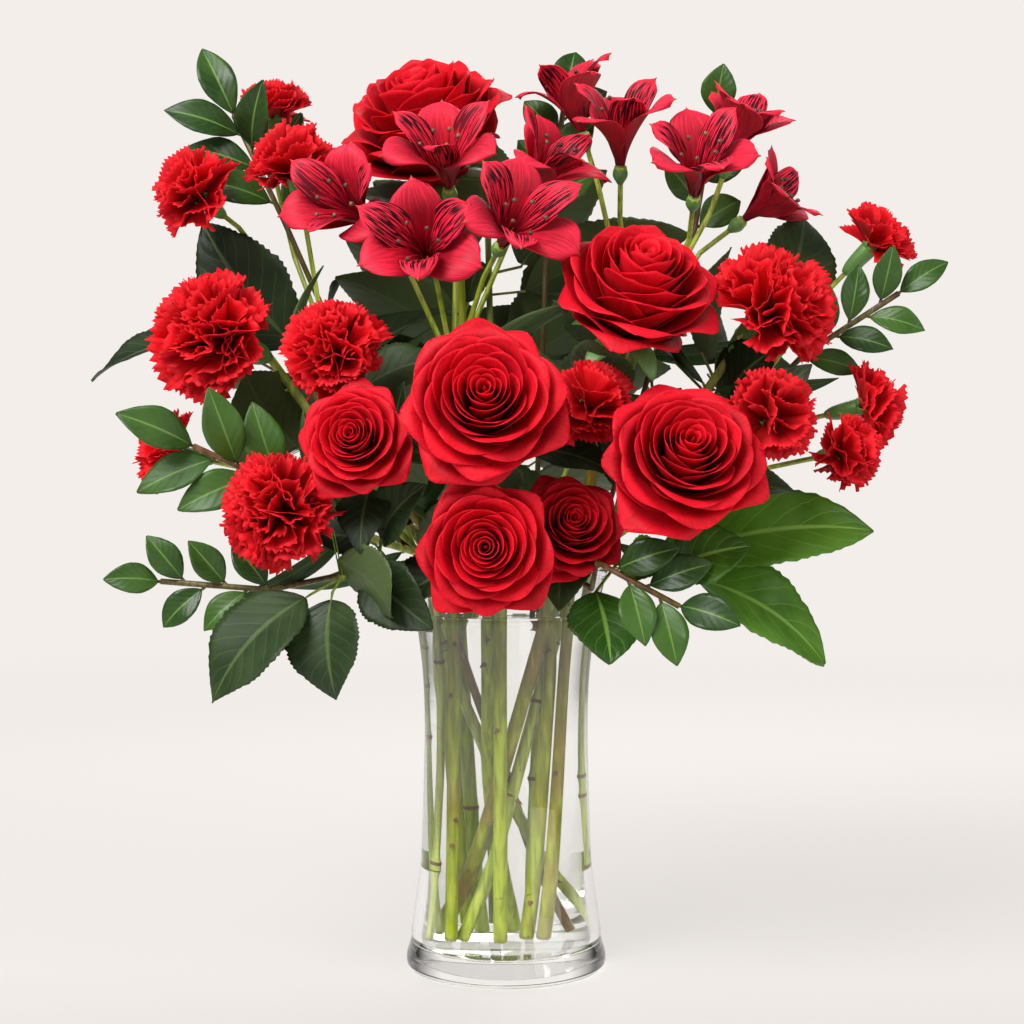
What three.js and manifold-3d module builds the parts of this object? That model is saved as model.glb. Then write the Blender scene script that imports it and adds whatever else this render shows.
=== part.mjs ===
// A bouquet of red roses, carnations and alstroemeria with mixed foliage, in a waisted glass vase of water.
// Millimetres, +Z up. The origin is the centre of the vase's foot. The bouquet faces -Y.
import * as THREE from "three";
import { mergeVertices } from "three/addons/utils/BufferGeometryUtils.js";
import Module from "manifold-3d";

// ---- Driving dimensions -------------------------------------------------------------------------

const GAP = 0.3; // clearance between pieces that touch
const VASE = {
  height: 203,
  footRadius: 55,
  waistRadius: 41.5,
  rimRadius: 52,
  waistHeight: 105,
  wall: 3,
  floor: 12,
  edge: 3, // the rounding of its foot, and of its floor inside
};
const WATER_BELOW_RIM = 24;

// Stem radii, and the green cup that each kind of flower sits on: its radius, and its length along the stem.
// A bloom's depth is a share of its width. A carnation wider than full has more ruffles.
const ROSE = { stem: 3.2, cup: 5.5, cupLength: 9, depth: 0.66 };
const CARNATION = { stem: 2.4, cup: 7, cupLength: 27, depth: 0.58, full: 53 };
const SPRAY = { stem: 1.9, cup: 4.2, cupLength: 17, depth: 0.55, branch: 1.3 };
const ALSTROEMERIA = { stem: 2.8, cup: 3.6, cupLength: 8, depth: 0.76, branch: 1.4 };

// Foliage stems. The last leaf starts bud below the tip, and a branch's first leaf no more than leafy below it.
// A twig's leaves point aside by spread and forward by up to twice forward, and their faces look up by raised.
const TWIG = { stem: 1.5, stalk: 3, bud: 2, spread: 1.1, forward: 0.25, raised: 0.35 };
const BRANCH = { stem: 1.9, stalk: 8, bud: 2, leafy: 170, out: 0.8, raised: 0.7, forward: 0.5 };

// Leaves. neck, fold, arch and droop are shares of a leaf's length or half width.
// A leaf that would touch something is turned about its face, then up or down, and then made smaller, in these steps.
const LEAF = {
  thickness: 0.8,
  stalk: 0.85, // half its stalk's width
  neck: 0.03,
  fold: 0.22,
  arch: 0.12,
  droop: 0.05,
  forward: 0.6, // how far a stem leaf's face looks forward, where 1 is as far as up
  turns: [
    [0, 0], [0.2, 0], [-0.2, 0], [0, 0.25], [0, -0.25], [0.45, 0],
    [-0.45, 0], [0, 0.6], [0, -0.6], [0.8, 0.4], [-0.8, 0.4],
  ],
  sizes: [1, 0.8, 0.6],
};
const ROSE_LEAF = { length: 48, width: 30, stalk: 12, belowFlower: [28, 52, 80, 110], lift: 0.5 };
const CARNATION_LEAF = { length: 60, width: 8, stalk: 2, belowFlower: [48, 80], lift: 0.9 };
const ALSTROEMERIA_LEAF = { length: 70, width: 15, stalk: 4, count: 8, belowFork: [4, 84], lift: 0.55 };

// How the stems stand in the vase: at five heights from foot to mouth, each is this share of its flower's way from
// the middle of the bouquet.
const STANCE = {
  middle: -45,
  straight: [0.34, 0.26, 0.21, 0.22, 0.27],
  crossing: [-0.3, -0.15, 0, 0.12, 0.22],
};

// ---- The arrangement: heights are above the vase's rim ------------------------------------------

const ROSES = [
  { name: "rose_top", at: [-42, 10, 231], faces: [-0.25, -0.5, 0.82], across: 98 },
  { name: "rose_upper_right", at: [62, -82, 133], faces: [0.14, -0.72, 0.68], across: 82 },
  { name: "rose_centre", at: [-9, -122, 78], faces: [0, -0.95, 0.3], across: 76, crosses: true },
  { name: "rose_right", at: [81, -112, 54], faces: [0.1, -0.9, 0.42], across: 76, crosses: true },
  { name: "rose_left", at: [-68, -104, 62], faces: [-0.12, -0.97, 0.2], across: 54 },
  { name: "rose_low", at: [-8, -116, 13], faces: [-0.05, -0.99, 0.05], across: 64 },
  { name: "rose_low_right", at: [30, -84, 22], faces: [0.12, -0.98, 0.12], across: 52 },
];

const CARNATIONS = [
  { name: "carnation_left", at: [-147, -60, 116], faces: [-0.62, -0.75, 0.22], across: 66, crosses: true },
  { name: "carnation_low_left", at: [-108, -95, 31], faces: [-0.35, -0.93, 0.1], across: 58 },
  { name: "carnation_right", at: [133, -70, 133], faces: [0.5, -0.62, 0.6], across: 64 },
];

const SPRAYS = [
  {
    name: "spray_top_left",
    fork: [-92, -12, 118],
    flowers: [
      { name: "upper", at: [-117, -12, 238], faces: [0.05, -0.35, 0.93], across: 37 },
      { name: "inner", at: [-106, -38, 204], faces: [-0.1, -0.7, 0.7], across: 43 },
      { name: "outer", at: [-155, -48, 187], faces: [-0.5, -0.78, 0.36], across: 44 },
    ],
  },
  {
    name: "spray_left",
    fork: [-76, -38, 52],
    flowers: [
      { name: "front", at: [-80, -86, 108], faces: [-0.08, -0.9, 0.42], across: 50 },
      { name: "outer", at: [-172, -30, 60], faces: [-0.88, -0.42, 0.2], across: 40 },
    ],
  },
  {
    name: "spray_middle",
    fork: [26, -30, 40],
    flowers: [{ name: "front", at: [40, -84, 80], faces: [0.05, -0.96, 0.25], across: 42 }],
  },
  {
    name: "spray_right",
    crosses: true,
    fork: [88, -38, 42],
    flowers: [
      { name: "front", at: [122, -104, 74], faces: [0.22, -0.95, 0.2], across: 42 },
      { name: "lower", at: [164, -72, 58], faces: [0.5, -0.85, 0.1], across: 36 },
      { name: "side", at: [181, -52, 82], faces: [0.88, -0.42, 0.2], across: 40 },
      { name: "upper", at: [190, -18, 169], faces: [0.66, -0.3, 0.69], across: 40 },
    ],
  },
];

const ALSTROEMERIAS = [
  {
    name: "alstroemeria_left",
    fork: [-26, -22, 100],
    flowers: [
      { name: "outer", at: [-76, -58, 176], faces: [-0.45, -0.85, 0.28], across: 50 },
      { name: "front", at: [-39, -86, 153], faces: [-0.1, -0.97, 0.2], across: 52 },
      { name: "inner", at: [4, -80, 165], faces: [0.3, -0.85, 0.42], across: 52 },
      { name: "upper", at: [-30, -48, 202], faces: [-0.1, -0.72, 0.68], across: 50 },
      { name: "rear", at: [20, -36, 199], faces: [0.42, -0.5, 0.75], across: 46 },
    ],
  },
  {
    name: "alstroemeria_right",
    crosses: true,
    fork: [66, -6, 112],
    flowers: [
      { name: "rear", at: [34, -2, 240], faces: [-0.3, -0.25, 0.92], across: 46 },
      { name: "upper", at: [57, -30, 219], faces: [-0.02, -0.5, 0.86], across: 50 },
      { name: "front", at: [93, -52, 197], faces: [0.02, -0.75, 0.66], across: 50 },
      { name: "inner", at: [118, -16, 222], faces: [0.3, -0.35, 0.88], across: 44 },
      { name: "outer", at: [134, -4, 188], faces: [0.75, -0.35, 0.55], across: 42 },
    ],
  },
];

// Small-leaved twigs: leaves alternate from start to tip, in the plane square to flat.
const TWIGS = [
  { name: "twig_top_left", start: [-112, -14, 176], tip: [-138, -10, 230], leaves: 7, length: 38, width: 17 },
  { name: "twig_left", start: [-108, -66, 42], tip: [-147, -74, 60], leaves: 5, length: 38, width: 18 },
  { name: "twig_low_left", start: [-112, -66, -8], tip: [-164, -66, -4], leaves: 6, length: 26, width: 14 },
  { name: "twig_low_right", start: [42, -94, 6], tip: [79, -102, -14], leaves: 6, length: 30, width: 16 },
  { name: "twig_right", start: [146, -36, 106], tip: [192, -42, 136], leaves: 7, length: 27, width: 13 },
  { name: "twig_top", start: [22, 16, 190], tip: [31, 18, 246], leaves: 6, length: 25, width: 17 },
  { name: "twig_top_right", start: [98, 10, 176], tip: [108, 14, 236], leaves: 6, length: 25, width: 17 },
];

// Large-leaved branches: each leaf runs from where its blade begins to its tip.
const BRANCHES = [
  {
    name: "branch_left",
    crosses: true,
    tip: [-100, -4, 92],
    leaves: [
      { from: [-108, -6, 114], to: [-156, -4, 176], width: 50 },
      { from: [-136, -12, 124], to: [-205, -24, 122], width: 34 },
      { from: [-118, -46, 50], to: [-128, -50, 96], width: 30 },
      { from: [-88, -2, 102], to: [-60, -8, 168], width: 38 },
      { from: [-84, -44, 84], to: [-44, -62, 112], width: 30 },
      { from: [-92, 4, 70], to: [-132, 28, 96], width: 34 },
      { from: [-88, 12, 96], to: [-92, 38, 154], width: 38 },
    ],
  },
  {
    name: "branch_low_left",
    crosses: true,
    tip: [-78, -80, -2],
    leaves: [
      { from: [-90, -86, -9], to: [-136, -96, -57], width: 42 },
      { from: [-80, -88, -8], to: [-78, -102, -56], width: 38 },
      { from: [-80, -88, 20], to: [-52, -108, -18], width: 34 },
      { from: [-62, -74, 6], to: [-34, -96, -24], width: 30 },
      { from: [-66, -50, 10], to: [-112, -28, 2], width: 34 },
      { from: [-58, -70, 22], to: [-38, -96, 42], width: 26 },
    ],
  },
  {
    name: "branch_low_right",
    tip: [62, -62, 4],
    leaves: [
      { from: [96, -62, 12], to: [176, -62, 22], width: 42 },
      { from: [84, -72, 4], to: [160, -78, -26], width: 40 },
      { from: [72, -84, 0], to: [112, -94, 14], width: 30 },
      { from: [34, -72, 0], to: [24, -96, -28], width: 34 },
      { from: [70, -46, 10], to: [122, -24, 4], width: 34 },
      { from: [50, -66, 18], to: [64, -92, 26], width: 22 },
    ],
  },
  {
    name: "branch_right",
    tip: [112, -20, 96],
    leaves: [
      { from: [138, -18, 128], to: [170, -6, 184], width: 42 },
      { from: [112, -46, 84], to: [104, -66, 128], width: 30 },
      { from: [124, -46, 78], to: [166, -50, 112], width: 24 },
      { from: [96, -36, 108], to: [112, -42, 158], width: 22 },
      { from: [84, -44, 92], to: [44, -62, 104], width: 30 },
      { from: [116, -2, 84], to: [156, 26, 104], width: 36 },
      { from: [104, 4, 100], to: [100, 34, 156], width: 34 },
    ],
  },
  {
    name: "branch_rear",
    tip: [-10, 62, 184],
    leaves: [
      { from: [-12, 66, 194], to: [-18, 66, 240], width: 38 },
      { from: [-26, 56, 134], to: [-86, 46, 178], width: 42 },
      { from: [8, 58, 132], to: [66, 50, 184], width: 42 },
      { from: [-26, 66, 164], to: [-72, 70, 212], width: 40 },
      { from: [8, 66, 164], to: [54, 70, 218], width: 40 },
      { from: [-24, 48, 114], to: [-98, 28, 140], width: 38 },
      { from: [12, 48, 112], to: [92, 34, 148], width: 38 },
      { from: [12, 52, 152], to: [96, 38, 194], width: 36 },
      { from: [-28, 62, 108], to: [-62, 84, 166], width: 44 },
      { from: [12, 66, 104], to: [52, 84, 160], width: 44 },
      { from: [-26, 62, 58], to: [-96, 88, 84], width: 42 },
      { from: [12, 62, 54], to: [84, 90, 78], width: 42 },
      { from: [-16, 66, 30], to: [-44, 108, 6], width: 40 },
      { from: [8, 66, 26], to: [42, 108, 2], width: 40 },
      { from: [-14, 58, 92], to: [-6, 92, 140], width: 40 },
      { from: [-22, 54, 84], to: [-88, 52, 128], width: 42 },
      { from: [12, 54, 80], to: [84, 54, 124], width: 42 },
      { from: [-24, 60, 40], to: [-92, 66, 34], width: 40 },
      { from: [14, 60, 36], to: [88, 66, 28], width: 40 },
    ],
  },
];

const PETAL = new THREE.MeshStandardMaterial({ color: "#c8102a", roughness: 0.6 });
const GREEN = new THREE.MeshStandardMaterial({ color: "#5f8a2c", roughness: 0.55 });
const TWIG_GREEN = new THREE.MeshStandardMaterial({ color: "#3f6b28", roughness: 0.45 });
const CLEAR = { transparent: true, opacity: 0.3, roughness: 0.03 };
const GLASS = new THREE.MeshStandardMaterial({ color: "#eef4f2", ...CLEAR });
const WATER = new THREE.MeshStandardMaterial({ color: "#f2f7f4", ...CLEAR });

// ---- Solids -------------------------------------------------------------------------------------

const wasm = await Module();
wasm.setup();
const UP = new THREE.Vector3(0, 0, 1);
const FRONT = new THREE.Vector3(0, -1, 0);
const TURN = Math.PI * (3 - Math.sqrt(5)); // each leaf on a stem is this far round from the last
const STEM_SIDES = { thick: 6, thin: 5, thickFrom: 2.1 };
const STEM_STEP = 45; // the length of a stem's straight runs, above the vase
const CUP_SIDES = 7;
const VASE_SIDES = 36;
const vector = ([x, y, z]) => new THREE.Vector3(x, y, z);
const aboveRim = ([x, y, z]) => new THREE.Vector3(x, y, z + VASE.height);

function solid(geometry) {
  const bare = geometry.index ? geometry.toNonIndexed() : geometry;
  const points = new THREE.BufferGeometry().setAttribute("position", bare.getAttribute("position"));
  const merged = mergeVertices(points, 1e-4);
  const corners = merged.index.array;
  const triVerts = [];
  for (let i = 0; i < corners.length; i += 3) {
    const [a, b, c] = corners.slice(i, i + 3);
    if (a !== b && b !== c && c !== a) triVerts.push(a, b, c);
  }
  const vertProperties = merged.attributes.position.array;
  const mesh = new wasm.Mesh({ numProp: 3, vertProperties, triVerts: new Uint32Array(triVerts) });
  return new wasm.Manifold(mesh);
}

function meshOf(made, name, material) {
  const { numProp, vertProperties, triVerts, numVert } = made.getMesh();
  const points = new Float32Array(numVert * 3);
  for (let i = 0; i < numVert; i++) points.set(vertProperties.subarray(i * numProp, i * numProp + 3), i * 3);
  const geometry = new THREE.BufferGeometry()
    .setAttribute("position", new THREE.BufferAttribute(points, 3))
    .setIndex(new THREE.BufferAttribute(triVerts, 1));
  geometry.computeVertexNormals();
  const mesh = new THREE.Mesh(geometry, material);
  mesh.name = name;
  return mesh;
}

// A body turned about +Z from a profile of [radius, height] points. swell may move each point by its angle.
function turned(profile, sides, swell) {
  const outline = profile.map(([r, z]) => new THREE.Vector2(r, z));
  const geometry = new THREE.LatheGeometry(outline, sides).rotateX(Math.PI / 2);
  if (swell) {
    const at = geometry.getAttribute("position");
    for (let i = 0; i < at.count; i++) {
      const point = new THREE.Vector3().fromBufferAttribute(at, i);
      at.setXYZ(i, ...swell(point, Math.atan2(point.y, point.x)));
    }
  }
  return geometry;
}

// Stands a body on a point with its +Z along a direction, and its +Y as near to straight up as that allows.
function stood(geometry, at, faces) {
  const right = new THREE.Vector3().crossVectors(UP, faces);
  if (right.length() < 1e-3) right.set(1, 0, 0);
  right.normalize().negate();
  const top = new THREE.Vector3().crossVectors(faces, right);
  const basis = new THREE.Matrix4().makeBasis(right, top, faces).setPosition(at);
  return geometry.applyMatrix4(basis);
}

// A path of straight runs, with one point at each of its bends.
class Runs extends THREE.Curve {
  constructor(points) {
    super();
    this.points = points;
  }
  getPoint(share, target = new THREE.Vector3()) {
    const run = Math.min(Math.max(share, 0), 1) * (this.points.length - 1);
    const from = Math.min(Math.floor(run), this.points.length - 2);
    return target.lerpVectors(this.points[from], this.points[from + 1], run - from);
  }
  getPointAt(share, target) {
    return this.getPoint(share, target);
  }
  getTangentAt(share, target) {
    return this.getTangent(share, target);
  }
}

function tube(points, radius, sides) {
  const section = new THREE.Shape();
  for (let i = 0; i < sides; i++) {
    const angle = (i / sides) * 2 * Math.PI;
    section[i ? "lineTo" : "moveTo"](radius * Math.cos(angle), radius * Math.sin(angle));
  }
  return new THREE.ExtrudeGeometry(section, { steps: points.length - 1, extrudePath: new Runs(points) });
}

// ---- Flower heads, each standing on the origin and facing +Z ------------------------------------

// Waves round a head's edge: count of them, each a share of the radius, growing from the back up to height full.
const lobed = (count, amount, full) => (p, angle) => {
  const swell = 1 + amount * Math.cos(count * angle) * Math.min(1, Math.max(0, p.z / full));
  return [p.x * swell, p.y * swell, p.z];
};

// A head from its outline: [radius, height] points as shares of its own radius and depth, from its back to its front.
function headBody(across, deep, grow, { outline, sides, lobes, amount, full }) {
  const radius = across / 2 + grow;
  const depth = deep * across + grow;
  const [back, ...front] = outline.map(([r, z]) => [r * radius, z * depth]);
  const profile = [[0, -grow], [back[0] + grow, -grow], ...front];
  return turned(profile, sides, lobed(lobes, amount, full * depth));
}

function roseHead(across, grow = 0) {
  const outline = [[0.3, 0], [0.72, 0.3], [1, 0.62], [0.88, 0.78], [0.62, 1], [0.3, 0.96], [0, 1]];
  return headBody(across, ROSE.depth, grow, { outline, sides: 15, lobes: 5, amount: 0.06, full: 0.6 });
}

function carnationHead(across, grow = 0) {
  const outline = [[0.14, 0], [0.6, 0.3], [1, 0.45], [0.86, 0.8], [0.45, 1], [0, 1]];
  const lobes = across > CARNATION.full ? 8 : 6;
  return headBody(across, CARNATION.depth, grow, { outline, sides: 2 * lobes, lobes, amount: 0.05, full: 0.4 });
}

// A funnel open at the front, with six lobes.
function alstroemeriaHead(across, grow = 0) {
  const outline = [[0.12, 0], [0.4, 0.4], [0.96, 0.92], [0.9, 1], [0.4, 0.8], [0, 0.66]];
  return headBody(across, ALSTROEMERIA.depth, grow, { outline, sides: 12, lobes: 6, amount: 0.14, full: 0.9 });
}

// ---- Where each stem runs -----------------------------------------------------------------------

const RIM = { points: 5, above: 4, inside: 1.8 }; // a stem's first points keep their heights, up to above the rim
const SEAT_LEAD = 28; // a stem is straight for this far below its flower
const HEAD_REACH = 0.42; // stems keep this share of a flower's width from its middle
const STEM_CLEARANCE = 0.8; // kept between stems
const SPREAD_PASSES = 500;
const SETTLE_PASSES = 150; // the last passes only push apart, and no longer straighten
const EASE = { inVase: 0.12, above: 0.3 };
const PUSH = { stem: 0.6, head: 0.5 }; // how much of an overlap each pass takes away

const outerRadius = (z) => {
  const below = z < VASE.waistHeight;
  const run = below ? VASE.waistHeight : VASE.height - VASE.waistHeight;
  const flare = (below ? VASE.footRadius : VASE.rimRadius) - VASE.waistRadius;
  return VASE.waistRadius + flare * ((z - VASE.waistHeight) / run) ** 2;
};
const innerRadius = (z) => outerRadius(Math.min(z, VASE.height)) - VASE.wall;
const levels = (from, to, count) =>
  Array.from({ length: count }, (_, i) => from + ((to - from) * i) / (count - 1));

// Points from just past a to b, a step or so apart.
function runTo(a, b, step) {
  const count = Math.max(1, Math.round(a.distanceTo(b) / step));
  return Array.from({ length: count }, (_, i) => a.clone().lerp(b, (i + 1) / count));
}

// A stem from the vase's floor to end. If it carries a flower, it arrives the way that the flower faces.
function mainStem({ end, faces, radius, cup = radius, crosses }) {
  const top = VASE.height + RIM.above + radius;
  const floor = VASE.floor + GAP + radius;
  const aside = new THREE.Vector2(end.x, end.y - STANCE.middle);
  const points = (crosses ? STANCE.crossing : STANCE.straight).map((share, i) => {
    const z = i ? (top * i) / (RIM.points - 1) : floor;
    return new THREE.Vector3(aside.x * share, aside.y * share, z);
  });
  const lead = faces ? end.clone().addScaledVector(faces, -SEAT_LEAD) : end.clone();
  points.push(...runTo(points[RIM.points - 1], lead, STEM_STEP));
  if (faces) points.push(end.clone());
  return { points, radius, cup, levelled: RIM.points, heldFirst: 0, heldLast: faces ? 2 : 1 };
}

function sideStem(fork, end, faces, radius, cup) {
  const lead = end.clone().addScaledVector(faces, -SEAT_LEAD);
  const points = [fork.clone(), ...runTo(fork, lead, STEM_STEP), end.clone()];
  return { points, radius, cup, levelled: 0, heldFirst: 1, heldLast: 2 };
}

// The shares along runs ab and cd at which they pass nearest to each other.
function nearest(a, b, c, d) {
  const u = b.clone().sub(a);
  const v = d.clone().sub(c);
  const w = a.clone().sub(c);
  const [uu, uv, vv, uw, vw] = [u.dot(u), u.dot(v), v.dot(v), u.dot(w), v.dot(w)];
  const clamp = (x) => Math.min(1, Math.max(0, x));
  const spread = uu * vv - uv * uv;
  const first = spread > 1e-9 ? clamp((uv * vw - vv * uw) / spread) : 0.5;
  const t = clamp((uv * first + vw) / vv);
  return [clamp((uv * t - uw) / uu), t];
}

// Moves one point of a stem, if it is free; the points in the vase keep their heights.
function move(stem, i, by) {
  if (i < stem.heldFirst || i >= stem.points.length - stem.heldLast) return;
  stem.points[i].x += by.x;
  stem.points[i].y += by.y;
  if (i >= stem.levelled) stem.points[i].z += by.z;
}

function pushRun(stem, i, share, by) {
  move(stem, i, by.clone().multiplyScalar(1 - share));
  move(stem, i + 1, by.clone().multiplyScalar(share));
}

const FAR = 3; // runs whose starts are more than this many steps apart can't touch
const girth = (stem, i) => (i === stem.points.length - 2 ? stem.cup : stem.radius);
const farApart = (p, q, reach) =>
  Math.abs(p.x - q.x) > reach || Math.abs(p.y - q.y) > reach || Math.abs(p.z - q.z) > reach;

function keepApart(a, i, b, j) {
  const [p, q, r, s] = [a.points[i], a.points[i + 1], b.points[j], b.points[j + 1]];
  if (farApart(p, r, FAR * STEM_STEP)) return;
  const [alongA, alongB] = nearest(p, q, r, s);
  const apart = p.clone().lerp(q, alongA).sub(r.clone().lerp(s, alongB));
  const short = girth(a, i) + girth(b, j) + STEM_CLEARANCE - apart.length();
  if (short <= 0) return;
  apart.setLength(short * PUSH.stem);
  pushRun(a, i, alongA, apart);
  pushRun(b, j, alongB, apart.negate());
}

function keepOffHead(stem, i, head) {
  const [p, q] = [stem.points[i], stem.points[i + 1]];
  const along = q.clone().sub(p);
  const share = Math.min(1, Math.max(0, head.middle.clone().sub(p).dot(along) / along.lengthSq()));
  const apart = p.clone().addScaledVector(along, share).sub(head.middle);
  const short = HEAD_REACH * head.across + stem.radius - apart.length();
  if (short > 0) pushRun(stem, i, share, apart.setLength(short * PUSH.head));
}

function keepInVase(stem) {
  for (let i = 0; i < stem.levelled; i++) {
    const point = stem.points[i];
    const limit = innerRadius(point.z) - stem.radius - RIM.inside;
    const out = Math.hypot(point.x, point.y);
    if (out > limit) move(stem, i, new THREE.Vector3(point.x, point.y, 0).multiplyScalar(limit / out - 1));
  }
}

function keepOffRim(stem, i) {
  const [p, q] = [stem.points[i], stem.points[i + 1]];
  const [inner, outer] = [Math.hypot(p.x, p.y), Math.hypot(q.x, q.y)];
  if (inner > VASE.rimRadius || outer < VASE.rimRadius - VASE.wall) return;
  const share = Math.min(1, (VASE.rimRadius - inner) / (outer - inner));
  const short = VASE.height + stem.radius + RIM.inside - (p.z + (q.z - p.z) * share);
  if (short > 0) pushRun(stem, i, 1, new THREE.Vector3(0, 0, short));
}

// Pushes the stems apart, off the flowers and inside the vase, until none touch.
function spreadStems(stems, heads) {
  for (let pass = 0; pass < SPREAD_PASSES; pass++) {
    for (const stem of stems) {
      for (let i = 1; i < stem.points.length - 1 && pass < SPREAD_PASSES - SETTLE_PASSES; i++) {
        const between = stem.points[i - 1].clone().lerp(stem.points[i + 1], 0.5);
        const ease = between.sub(stem.points[i]);
        move(stem, i, ease.multiplyScalar(i < stem.levelled ? EASE.inVase : EASE.above));
      }
      for (let i = 0; i < stem.points.length - 1; i++)
        for (const head of heads) if (head.plant !== stem.plant) keepOffHead(stem, i, head);
      for (let i = Math.max(0, stem.levelled - 1); i < stem.points.length - 1; i++) keepOffRim(stem, i);
    }
    stems.forEach((a, n) => {
      for (const b of stems.slice(n + 1)) {
        if (a.plant === b.plant) continue;
        for (let i = 0; i < a.points.length - 1; i++)
          for (let j = 0; j < b.points.length - 1; j++) keepApart(a, i, b, j);
      }
    });
    for (const stem of stems) keepInVase(stem);
  }
}

// ---- Leaves -------------------------------------------------------------------------------------

// Half widths at even steps along a leaf's blade, as shares of its widest.
const BROAD = [0.85, 1, 0.62];
const SLIM = [0.8, 1, 0.55];

// A leaf as one thin body from its stalk's foot to its tip, thickest at the midrib, folded and arched.
function leafBody({ foot, base, tip, width, normal, outline }, grow = 0) {
  const along = tip.clone().sub(base);
  const length = along.length();
  const side = new THREE.Vector3().crossVectors(normal, along).normalize();
  const face = new THREE.Vector3().crossVectors(along, side).normalize();
  const stalk = base.clone().sub(foot).normalize();
  const stalkSide = side.clone().addScaledVector(stalk, -side.dot(stalk));
  if (stalkSide.length() < 0.3) stalkSide.copy(face).addScaledVector(stalk, -face.dot(stalk));
  stalkSide.normalize();
  const stalkFace = new THREE.Vector3().crossVectors(stalk, stalkSide);
  const points = [];
  const ring = (middle, half, thick, fold, [right, front]) => {
    const rib = (offset) => middle.clone().addScaledVector(front, offset);
    const edge = (sign) => rib(fold * half).addScaledVector(right, sign * half);
    points.push(edge(-1), rib(-thick), edge(1), rib(thick));
  };
  const between = [stalkSide.clone().add(side).normalize(), stalkFace.clone().add(face).normalize()];
  ring(foot, LEAF.stalk + grow, LEAF.stalk + grow, 0, [stalkSide, stalkFace]);
  ring(base, LEAF.stalk + grow, LEAF.stalk + grow, 0, between);
  outline.forEach((share, i) => {
    const t = (i + 1) / (outline.length + 1);
    const rise = (LEAF.arch * 4 * (1 - t) - LEAF.droop * t) * t * length;
    const middle = base.clone().addScaledVector(along, t).addScaledVector(face, rise);
    ring(middle, (share * width) / 2 + grow, LEAF.thickness / 2 + grow, LEAF.fold, [side, face]);
  });
  const last = points.length;
  points.push(tip.clone().addScaledVector(along, grow / length).addScaledVector(face, -LEAF.droop * length));
  const faces = [];
  for (let k = 0; k < 4; k++) {
    const next = (k + 1) % 4;
    for (let at = 0; at < last - 4; at += 4)
      faces.push([at + k, at + next, at + 4 + next], [at + k, at + 4 + next, at + 4 + k]);
    faces.push([last - 4 + k, last - 4 + next, last]);
  }
  faces.push([0, 2, 1], [0, 3, 2]);
  return new THREE.BufferGeometry().setFromPoints(points).setIndex(faces.flat());
}

const boxesMeet = (a, b) =>
  [0, 1, 2].every((i) => a.min[i] < b.max[i] && b.min[i] < a.max[i]);
const touches = (made, other) =>
  boxesMeet(made.boundingBox(), other.box) && !made.intersect(other.made).isEmpty();
const boxed = (made) => ({ made, box: made.boundingBox() });

// The leaf at its own place if that is clear of the others, and its blade clear of its own plant's blades.
// Otherwise it is turned about its foot, and then made smaller, until it is. A leaf with no room is left out.
function clearLeaf(leaf, others, blades) {
  for (const size of LEAF.sizes)
    for (const [turn, tilt] of LEAF.turns) {
      const along = leaf.tip.clone().sub(leaf.base);
      const side = new THREE.Vector3().crossVectors(leaf.normal, along).normalize();
      const spin = new THREE.Quaternion().setFromAxisAngle(leaf.normal.clone().normalize(), turn);
      spin.premultiply(new THREE.Quaternion().setFromAxisAngle(side, tilt));
      const spun = (point) => point.clone().sub(leaf.foot).applyQuaternion(spin).add(leaf.foot);
      const base = spun(leaf.base);
      const tip = spun(leaf.tip).sub(base).multiplyScalar(size).add(base);
      const normal = leaf.normal.clone().applyQuaternion(spin);
      const tried = { ...leaf, base, tip, width: leaf.width * size, normal };
      const grown = solid(leafBody(tried, GAP));
      if (others.some((other) => touches(grown, other))) continue;
      const blade = { ...tried, foot: base.clone().lerp(tip, -LEAF.neck) };
      const grownBlade = solid(leafBody(blade, GAP));
      if (blades.some((other) => touches(grownBlade, other))) continue;
      return { made: solid(leafBody(tried)), blade: boxed(solid(leafBody(blade))) };
    }
  return null;
}

// A leaf that starts this far below a stem's end, at an angle round it, raised towards the stem's tip.
function stemLeaf(stem, below, angle, { length, width, stalk, lift, outline }) {
  const { point: foot, way } = backAlong(stem, below);
  const across = new THREE.Vector3().crossVectors(way, FRONT).normalize();
  const other = new THREE.Vector3().crossVectors(way, across);
  const aside = across.multiplyScalar(Math.cos(angle)).addScaledVector(other, Math.sin(angle));
  const along = aside.addScaledVector(way, lift).normalize();
  const base = foot.clone().addScaledVector(along, stem.radius + stalk);
  const tip = base.clone().addScaledVector(along, length);
  const normal = UP.clone().addScaledVector(FRONT, LEAF.forward).addScaledVector(along, -along.dot(UP));
  return { foot, base, tip, width, normal, outline };
}

// ---- The plants: each is one stem with its side stems, cups and leaves, and carries its flower heads 

// The point this far back along a stem from its end, and the way that the stem runs there.
function backAlong(stem, distance) {
  let left = distance;
  for (let i = stem.points.length - 1; i > 0; i--) {
    const [from, to] = [stem.points[i - 1], stem.points[i]];
    const run = from.distanceTo(to);
    if (left <= run || i === 1) {
      const point = to.clone().lerp(from, Math.min(1, left / run));
      return { point, way: to.clone().sub(from).normalize() };
    }
    left -= run;
  }
}

function headOf(kind, make, flower, plant) {
  const faces = vector(flower.faces).normalize();
  const depth = kind.depth * flower.across;
  const back = aboveRim(flower.at).addScaledVector(faces, -depth / 2);
  const seat = back.clone().addScaledVector(faces, -GAP);
  return { kind, make, faces, across: flower.across, depth, back, seat, plant, middle: aboveRim(flower.at) };
}

function singlePlant(kind, make, flower, leaves) {
  const plant = { name: `${flower.name}_stem`, kind, leaves, stems: [], heads: [] };
  const head = { ...headOf(kind, make, flower, plant), name: flower.name };
  const { seat: end, faces } = head;
  const main = mainStem({ end, faces, radius: kind.stem, cup: kind.cup, crosses: flower.crosses });
  plant.stems.push({ ...main, plant });
  plant.heads.push(head);
  return plant;
}

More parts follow.
